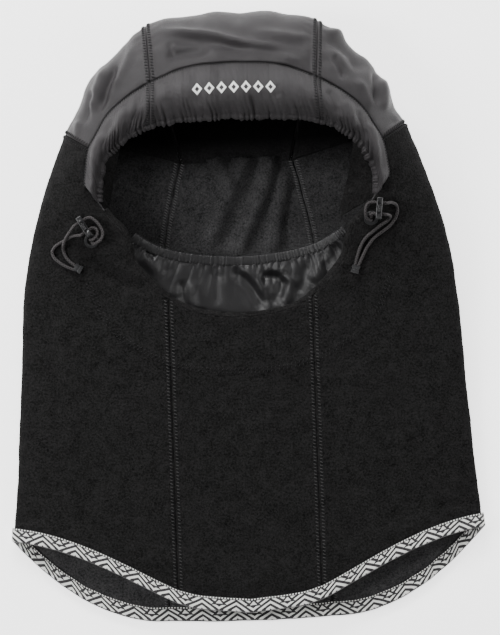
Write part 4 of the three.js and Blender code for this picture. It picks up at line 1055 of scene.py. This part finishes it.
# ---------- hem tape ----------
# Jacquard tape folded over both hems and sewn through: nested white chevrons, a small triangle in each, and a
# row of dashes along both edges, on charcoal.
tape = Finish("hem_tape", (0.3, 0.3, 0.29), 0.8, sheen_weight=0.15, sheen_roughness=0.5)
across, along = tape.uv()
tape_half = 9.95  # from the edge of the tape to the middle of its fold
inward = tape_half - abs(across - tape_half)
centre = abs(along % 22.0 - 11.0)
chevron = ((inward + centre * 0.62 + 0.3) % 3.3) < 1.6
triangle = centre < (inward - 1.7) * 0.9
triangle = triangle * (inward < 4.2)
halo = (centre < (inward - 0.9) * 1.15 + 0.5) * (inward < 5.1)
dashes = (along % 1.9 < 1.05) * (inward < 1.0) * (inward > 0.25)
field = (inward > 1.45) * (inward < 8.2)
white = (chevron * field * (1 - halo)).larger(triangle * (inward > 1.9)).larger(dashes)
threads = (along * 10).sin() * 0.5 + (across * 7).sin() * 0.5
wear = tape.noise(1.2, 3) * 0.5 + tape.noise(9) * 0.3
tape.feed("Base Color", tape.blend(
    white * (1.25 - wear * 0.6), (0.02, 0.0185, 0.02, 1), (0.86, 0.86, 0.83, 1)))
tape.bump(threads * 0.5 + white, 0.14)
tape_width, tape_wall = 7.6, 0.7
outer_rise, inner_fall = tape_wall + gap, fleece_thick + gap + tape_wall
bend_middle, bend_half = (outer_rise - inner_fall) / 2, (outer_rise + inner_fall) / 2
path = [(a, outer_rise) for a in np.linspace(tape_width, 0, 13)]
path += [(-math.sin(c) * (gap + tape_wall), bend_middle + bend_half * math.cos(c))
         for c in np.linspace(0, np.pi, 14)[1:-1]]
path += [(a, -inner_fall) for a in np.linspace(0, tape_width, 13)]


def mirrored(line):
    return line[::-1] * [-1, 1, 1]


for name, first, last, middle, out in (
    ("front", 2, 75, front_base, 1), ("back", 76, -2, back_base[:, ::-1], -1),
):
    lines = []
    for row in (-1, -8):
        side_line = side_base[row, first:last] if name == "front" else side_base[row, first:last][::-1]
        lines.append(np.concatenate([mirrored(side_line), middle[row], side_line]))
    hem_line, beside = lines
    even = np.linspace(0, len(hem_line) - 1, 560)
    pick = [np.stack([np.interp(even, np.arange(len(l)), l[:, k]) for k in range(3)], axis=1)
            for l in (hem_line, beside)]
    into = unit(pick[1] - pick[0])
    out_way = unit(np.cross(np.gradient(pick[0], axis=0), into)) * out
    band = np.stack([pick[0] + into * a + out_way * b for a, b in path], axis=1)
    if out < 0:
        band = band[::-1]
    ripple = 0.12 * noise_over(band[..., 0], band[..., 1], 7, 91)
    cloth(f"hem_tape_{name}", push(band, ripple), tape_wall - 0.02, f"hem_binding_{name}", "hem_tape",
          tape)

# ---------- facing strips beside the opening ----------
# The brushed lining of the sides shows as a narrow strip inside the edge of the brim on both sides, where it
# slopes down into the hood. It is caught in the brim's turned edge and hangs free below.
strip_tops = np.linspace(4.6, brim_root, 61)
strip_lines = {"left": [(-73, 113), (-75.5, 103), (-78, 91), (-80.5, 80), (-81.5, 71), (-80, 62)],
               "right": [(75, 113), (74.5, 103), (72, 92), (69, 80), (66, 70), (66, 62)]}
for side, points in strip_lines.items():
    sign = 1 if side == "right" else -1
    at, away = edge_frames(brim_edge, strip_tops)
    top = on_top(at, -2 * lip_radius - 0.8) + np.concatenate([away * 2.5, np.zeros((61, 1))], axis=1)
    bottom = Curve(points)(np.linspace(0.2, len(points) - 1, 61)) * [sign, 1]
    bottom = np.concatenate([bottom, (top[:, 2:] - 11)], axis=1)
    share = np.linspace(0, 1, 25)[None, :, None]
    strip = mix(top[:, None], bottom[:, None], share)
    strip[..., 2] += 3.0 * np.sin(np.pi * share[..., 0] * 0.5) * (1 - share[..., 0])
    strip = strip[:, ::-1]
    if side == "left":
        strip = strip[::-1] * [-1, 1, 1]
    relief = 0.8 * (pleats(runs(strip, 0), 11, 95) - 0.5)
    strip = push(strip, relief + 0.2 * noise_over(strip[..., 0], strip[..., 1], 6, 97))
    # The strips take the darker outer fleece finish rather than the lining's own, as painted shade under the edge
    # of the brim.
    cloth(f"side_facing_{side}", strip, 1.2, None, "brushed_lining", fleece_black)

# ---------- stitches ----------
# Flat seams are sewn with two needles: two rows of short threads lie across each join, dark on the nylon and
# lighter on the fleece. The brim's seam has one slanted row, and the mask's casing has a running stitch.
thread_dark = Finish("thread_dark", (0.005, 0.0048, 0.0052), 0.6, specular_ior_level=0.2)
thread_grey = Finish("thread_grey", (0.05, 0.049, 0.05), 0.6, specular_ior_level=0.2)
thread_shade = Finish("thread_shade", (0.022, 0.0215, 0.022), 0.7, specular_ior_level=0.1)
thread_inside = Finish("thread_inside", (0.1, 0.098, 0.1), 0.6, specular_ior_level=0.2)
for thread in (thread_dark, thread_grey, thread_shade, thread_inside):
    thread.bump(thread.noise(0.25, 2), 0.03)
    thread.feed("Roughness", thread.noise(0.5) * 0.2 + 0.45)


def seam_line(grid, edge, distance):
    """Points and normals along the line at that distance from one edge of a grid."""
    both = np.concatenate([grid, normals(grid)], axis=-1)
    turned = both.transpose(1, 0, 2)
    both = {"first": both, "last": both[::-1], "left": turned, "right": turned[::-1]}[edge]
    run = runs(both[..., :3], 0)
    return np.array([[np.interp(distance, run[:, k], both[:, k, c]) for c in range(6)]
                     for k in range(both.shape[1])])


def sew(name, rows, pitch, length, thick, turn, finish, slot):
    """Rows of stitches as one piece. Each is a bar with rounded ends, turned from the line of its row."""
    rings = [(-0.5, 0.4, -0.5), (-0.3, 0.9, 0.3), (0, 1.0, 0.6), (0.3, 0.9, 0.3), (0.5, 0.4, -0.5)]
    corners = np.arange(6) * np.pi / 3
    bar = np.array([[a * length, r * math.cos(c) * thick / 2, (r * math.sin(c) + lift) * thick / 2]
                    for a, r, lift in rings for c in corners])
    bar_faces = [(6 * i + j, 6 * i + (j + 1) % 6, 6 * i + 6 + (j + 1) % 6, 6 * i + 6 + j)
                 for i in range(4) for j in range(6)]
    bar_faces += [tuple(range(6))[::-1], tuple(range(24, 30))]
    points, faces = [], []
    for row in rows:
        line, _ = even_line(row, pitch)
        forward = unit(np.gradient(line[:, :3], axis=0))
        up = unit(line[:, 3:])
        across = np.cross(up, forward)
        lie = forward * math.cos(turn) + across * math.sin(turn)
        beside = np.cross(up, lie)
        for p, a, b, c in zip(line[:, :3], lie, beside, up):
            faces += [tuple(v + len(points) * 30 for v in f) for f in bar_faces]
            points.append(p + bar[:, :1] * a + bar[:, 1:2] * b + bar[:, 2:] * c)
    obj = put_mesh(name, np.concatenate(points), faces)
    settle(obj, finish, slot, "hood")


def both_faces(grid, edge, distance, other, other_edge):
    return [seam_line(grid, edge, distance), seam_line(other, other_edge, distance)]

joins = (("right", "last", "first"), ("left", "first", "last"))  # the edges that meet on each side
under_lip = 20  # the first columns of a brim piece lie under its edge
nylon_work, fleece_work = (thread_dark, "nylon_shell"), (thread_grey, "fleece")
front_cloth, back_cloth = fleece_grids["neck_front_panel"], fleece_grids["neck_back_panel"]
for side, edge, other in joins:
    rows = both_faces(crown_grids["crown_centre_panel"], edge, 2.1, crown_grids[f"crown_panel_{side}"], other)
    sew(f"stitches_crown_{side}", rows, 2.0, 2.6, 0.75, 1.25, *nylon_work)
rows = [seam_line(brim_grids[n], "right", 1.0) for n in ("brim_left", "brim_centre", "brim_right")]
sew("stitches_brim_seam", rows, 1.8, 3.2, 0.8, 1.2, *nylon_work)
for side, edge, other in joins:
    middle_piece, side_piece = (brim_grids[f"brim_{n}"][:, under_lip:] for n in ("centre", side))
    rows = both_faces(middle_piece, edge, 1.9, side_piece, other)
    sew(f"stitches_brim_{side}", rows, 2.0, 2.5, 0.75, 1.25, *nylon_work)
for side, edge, other in joins:
    rows = both_faces(crown_grids[f"crown_panel_{side}"], edge, 1.7, fleece_grids[f"side_panel_{side}"], other)
    sew(f"stitches_nylon_{side}", rows, 1.9, 2.4, 0.7, 1.25, *nylon_work)
below = side_t >= chin_corner
for side, part in (("right", below), ("left", below[::-1])):
    rows = both_faces(front_cloth, side, 2.2, fleece_grids[f"side_panel_{side}"][part], "left")
    sew(f"stitches_front_{side}", rows, 2.2, 2.0, 0.48, 1.2, *fleece_work)

# The seam of the chin facing shows on the front as a faint double line in the shape of a U
facing_seam = Curve([(-97, 24), (-88, 2.5), (-78, -10.5), (-64, -19.5), (-48, -28), (-25, -33.3), (0, -35),
                     (25, -33.3), (48, -28), (64, -19.5), (78, -10.5), (88, 2.5), (97, 24)])
facing_rows = []
for beside in (-1.1, 1.1):
    plan = facing_seam(np.linspace(0, 12, 400))
    ahead = unit(np.gradient(plan, axis=0))
    plan = plan + beside * np.stack([-ahead[:, 1], ahead[:, 0]], axis=1)
    ways = np.stack([on_top(plan + step, 0.6) for step in ([0, 0], [0.5, 0], [0, 0.5])])
    upright = unit(np.cross(ways[1] - ways[0], ways[2] - ways[0]))
    facing_rows.append(np.concatenate([ways[0], upright], axis=1))
sew("stitches_facing", facing_rows, 2.6, 1.5, 0.34, 1.0, thread_shade, "fleece")
for side, edge in (("right", "left"), ("left", "right")):
    rows = both_faces(back_cloth, edge, 2.2, fleece_grids[f"side_panel_{side}"], "right")
    sew(f"stitches_back_{side}", rows, 2.2, 2.0, 0.48, 1.2, *fleece_work)
    inner_rows = []
    for row in rows:
        flipped = row.copy()
        flipped[:, :3] -= row[:, 3:] * fleece_thick
        flipped[:, 3:] *= -1
        inner_rows.append(flipped)
    sew(f"stitches_inside_{side}", inner_rows, 1.7, 2.3, 0.6, 1.2, thread_inside, "fleece")
sew("stitches_casing", [seam_line(push(casing, micro), "left", 1.0)], 2.3, 1.4, 0.45, 0.0, thread_dark,
    "stretch_knit")

# ---------- drawcords in the turned edges ----------
# The two elastic cords lie in the channels round the opening and come out under the eyelets as the tails.
# They are the same braided cord, and a turned edge sewn over each keeps it in its place.
brim_half = brim_edge.p[1:-1]
brim_line = Curve([(x, y) for x, y in brim_half[:0:-1]] + [(-x, y) for x, y in brim_half])
for name, curve, low, high, strand in (
    ("brim_drawcord", brim_line, 0.03, 0.97, "lower"),
    ("chin_drawcord", rim_curve, 0.16, 0.84, "upper"),
):
    channel = on_top(curve(np.linspace(low, high, 23) * curve.last), -lip_radius)
    ends = []
    for side in ("right", "left"):
        leave = strand_route(side, strand)
        inward = unit(leave[0] - leave[1])
        ends.append([leave[0] + inward * gap, leave[0] + inward * 0.7 * cord_diameter])
    route = np.array([*ends[0], *channel, *ends[1][::-1]])
    smooth_route = Curve(route)(np.linspace(0, len(route) - 1, 300))
    cord, _ = tube(name.replace("drawcord", "elastic_cord"), smooth_route, cord_diameter / 2)
    settle(cord, cord_braid, "elastic_cord", "hood", name)

# ---------- eyelets ----------
# A round moulded ring in the fleece for each pair of tails, in gloss black plastic: a flange with a rounded
# rim, and a barrel that goes through the fleece.
flange_width, flange_thick, barrel_width, barrel_length, bore = 9.4, 0.9, 6.2, 2.6, 5.2
for side in sides:
    along, inwards, middle, eye, normal = lock_frame(side)
    ring = rod(flange_width, flange_thick, vertices=48)
    ring.name = ring.data.name = f"eyelet_{side}"
    cut_out(ring, rod(bore, 4, vertices=48))
    soften(ring, 0.32, 3)
    barrel = rod(barrel_width, barrel_length, at=(0, 0, -barrel_length / 2), vertices=48)
    cut_out(barrel, rod(bore, 8, vertices=48))
    bpy.ops.object.select_all(action="DESELECT")
    barrel.select_set(True)
    ring.select_set(True)
    bpy.context.view_layer.objects.active = ring
    bpy.ops.object.join()
    x_way = unit(np.cross([0, 1, 0], normal))
    place_at(ring, eye + normal * 1.0, x_way, np.cross(normal, x_way), normal)
    settle(ring, lock_plastic, "lock_plastic", "hood", f"cord_eyelet_{side}")

# ---------- cord locks ----------
# A flat two-hole lock on each pair: a hollow gloss body with round ends, a button that slides down in it, and
# a folded steel spring that pushes the button up so that its slots pinch the cords.
lock_size = (14.0, 9.6, 3.6)
lock_wall, hole_diameter, button_travel = 0.7, 2.7, 1.8
corner_round, stem_rise = 2.4, 2.2
holes = (-hole_spacing / 2, hole_spacing / 2)
spring_steel = Finish("spring_steel", (0.5, 0.5, 0.52), 0.32, metallic=1.0)
spring_steel.feed("Roughness", spring_steel.noise(0.4, 2, (1, 6, 1)) * 0.2 + 0.24)
for side in sides:
    along, inwards, middle, eye, normal = lock_frame(side)
    up = np.array([0.0, 0.0, 1.0])
    through_way = np.cross(along, up)
    shell = start_block(f"lock_shell_{side}", lock_size)
    bpy.ops.object.mode_set(mode="EDIT")
    bpy.ops.mesh.select_all(action="DESELECT")
    bm = bmesh.from_edit_mesh(shell.data)
    for edge in bm.edges:
        a, b = (v.co for v in edge.verts)
        edge.select = abs(a.z - b.z) > lock_size[2] / 1500
    bmesh.update_edit_mesh(shell.data)
    bpy.ops.mesh.bevel(offset=corner_round / 1000, segments=7, affect="EDGES")
    bpy.ops.object.mode_set(mode="OBJECT")
    soften(shell, 0.45, 3)
    inner = [v - 2 * lock_wall for v in lock_size]
    hollow = start_block("hollow", inner)
    mouth = start_block("mouth", (5.6, 3 * lock_wall, 2.2))
    mouth.data.transform(Matrix.Translation((0, lock_size[1] / 2000, 0)))
    cut_out(shell, hollow, mouth, *(rod(hole_diameter, 20, at=(x, 0, 0)) for x in holes))
    place_at(shell, middle, along, up, through_way)
    settle(shell, lock_plastic, "lock_plastic", f"lock_{side}", f"lock_body_{side}")

    blade_height = hole_diameter + button_travel
    blade_middle = (lock_size[1] - 2 * lock_wall) / 2 - gap - blade_height / 2
    blade_thick = lock_size[2] - 2 * lock_wall - 2 * gap
    blade_width = lock_size[0] - 2 * lock_wall - 2 * gap
    button = start_block(f"lock_slider_{side}", (blade_width, blade_height, blade_thick))
    button.data.transform(Matrix.Translation((0, blade_middle / 1000, 0)))
    for x in holes:
        slot_cut = start_block("slot", (hole_diameter, blade_height, 6))
        slot_cut.data.transform(Matrix.Translation((x / 1000, (blade_middle - button_travel / 2) / 1000, 0)))
        cut_out(button, slot_cut)
    stem_height = lock_size[1] / 2 + stem_rise - blade_middle
    stem = start_block("stem", (5, stem_height, blade_thick))
    stem.data.transform(Matrix.Translation((0, (blade_middle + stem_height / 2) / 1000, 0)))
    join = button.modifiers.new("join", "BOOLEAN")
    join.operation, join.solver, join.object = "UNION", "EXACT", stem
    bpy.context.view_layer.objects.active = button
    bpy.ops.object.modifier_apply(modifier="join")
    bpy.data.objects.remove(stem)
    for x in (-1.5, 0, 1.5):
        groove = rod(0.5, 6, axis="Z", at=(x, lock_size[1] / 2 + stem_rise, 0), vertices=12)
        cut_out(button, groove)
    soften(button, 0.16, 2)
    place_at(button, middle, along, up, through_way)
    settle(button, lock_plastic, "lock_plastic", f"button_{side}", f"lock_button_{side}")

    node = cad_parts[f"lock_spring_{side}"]
    spring = bpy.data.objects.new(f"lock_leaf_{side}", node.data.copy())
    bpy.context.scene.collection.objects.link(spring)
    bm = bmesh.new()
    bm.from_mesh(spring.data)
    bmesh.ops.remove_doubles(bm, verts=bm.verts, dist=1e-6)
    bmesh.ops.dissolve_limit(bm, angle_limit=0.02, verts=bm.verts, edges=bm.edges)
    bm.to_mesh(spring.data)
    bm.free()
    soften(spring, 0.05, 2)
    low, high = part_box(f"lock_spring_{side}")
    settle(spring, spring_steel, "spring_steel", f"lock_{side}", f"lock_spring_{side}")
    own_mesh(spring)
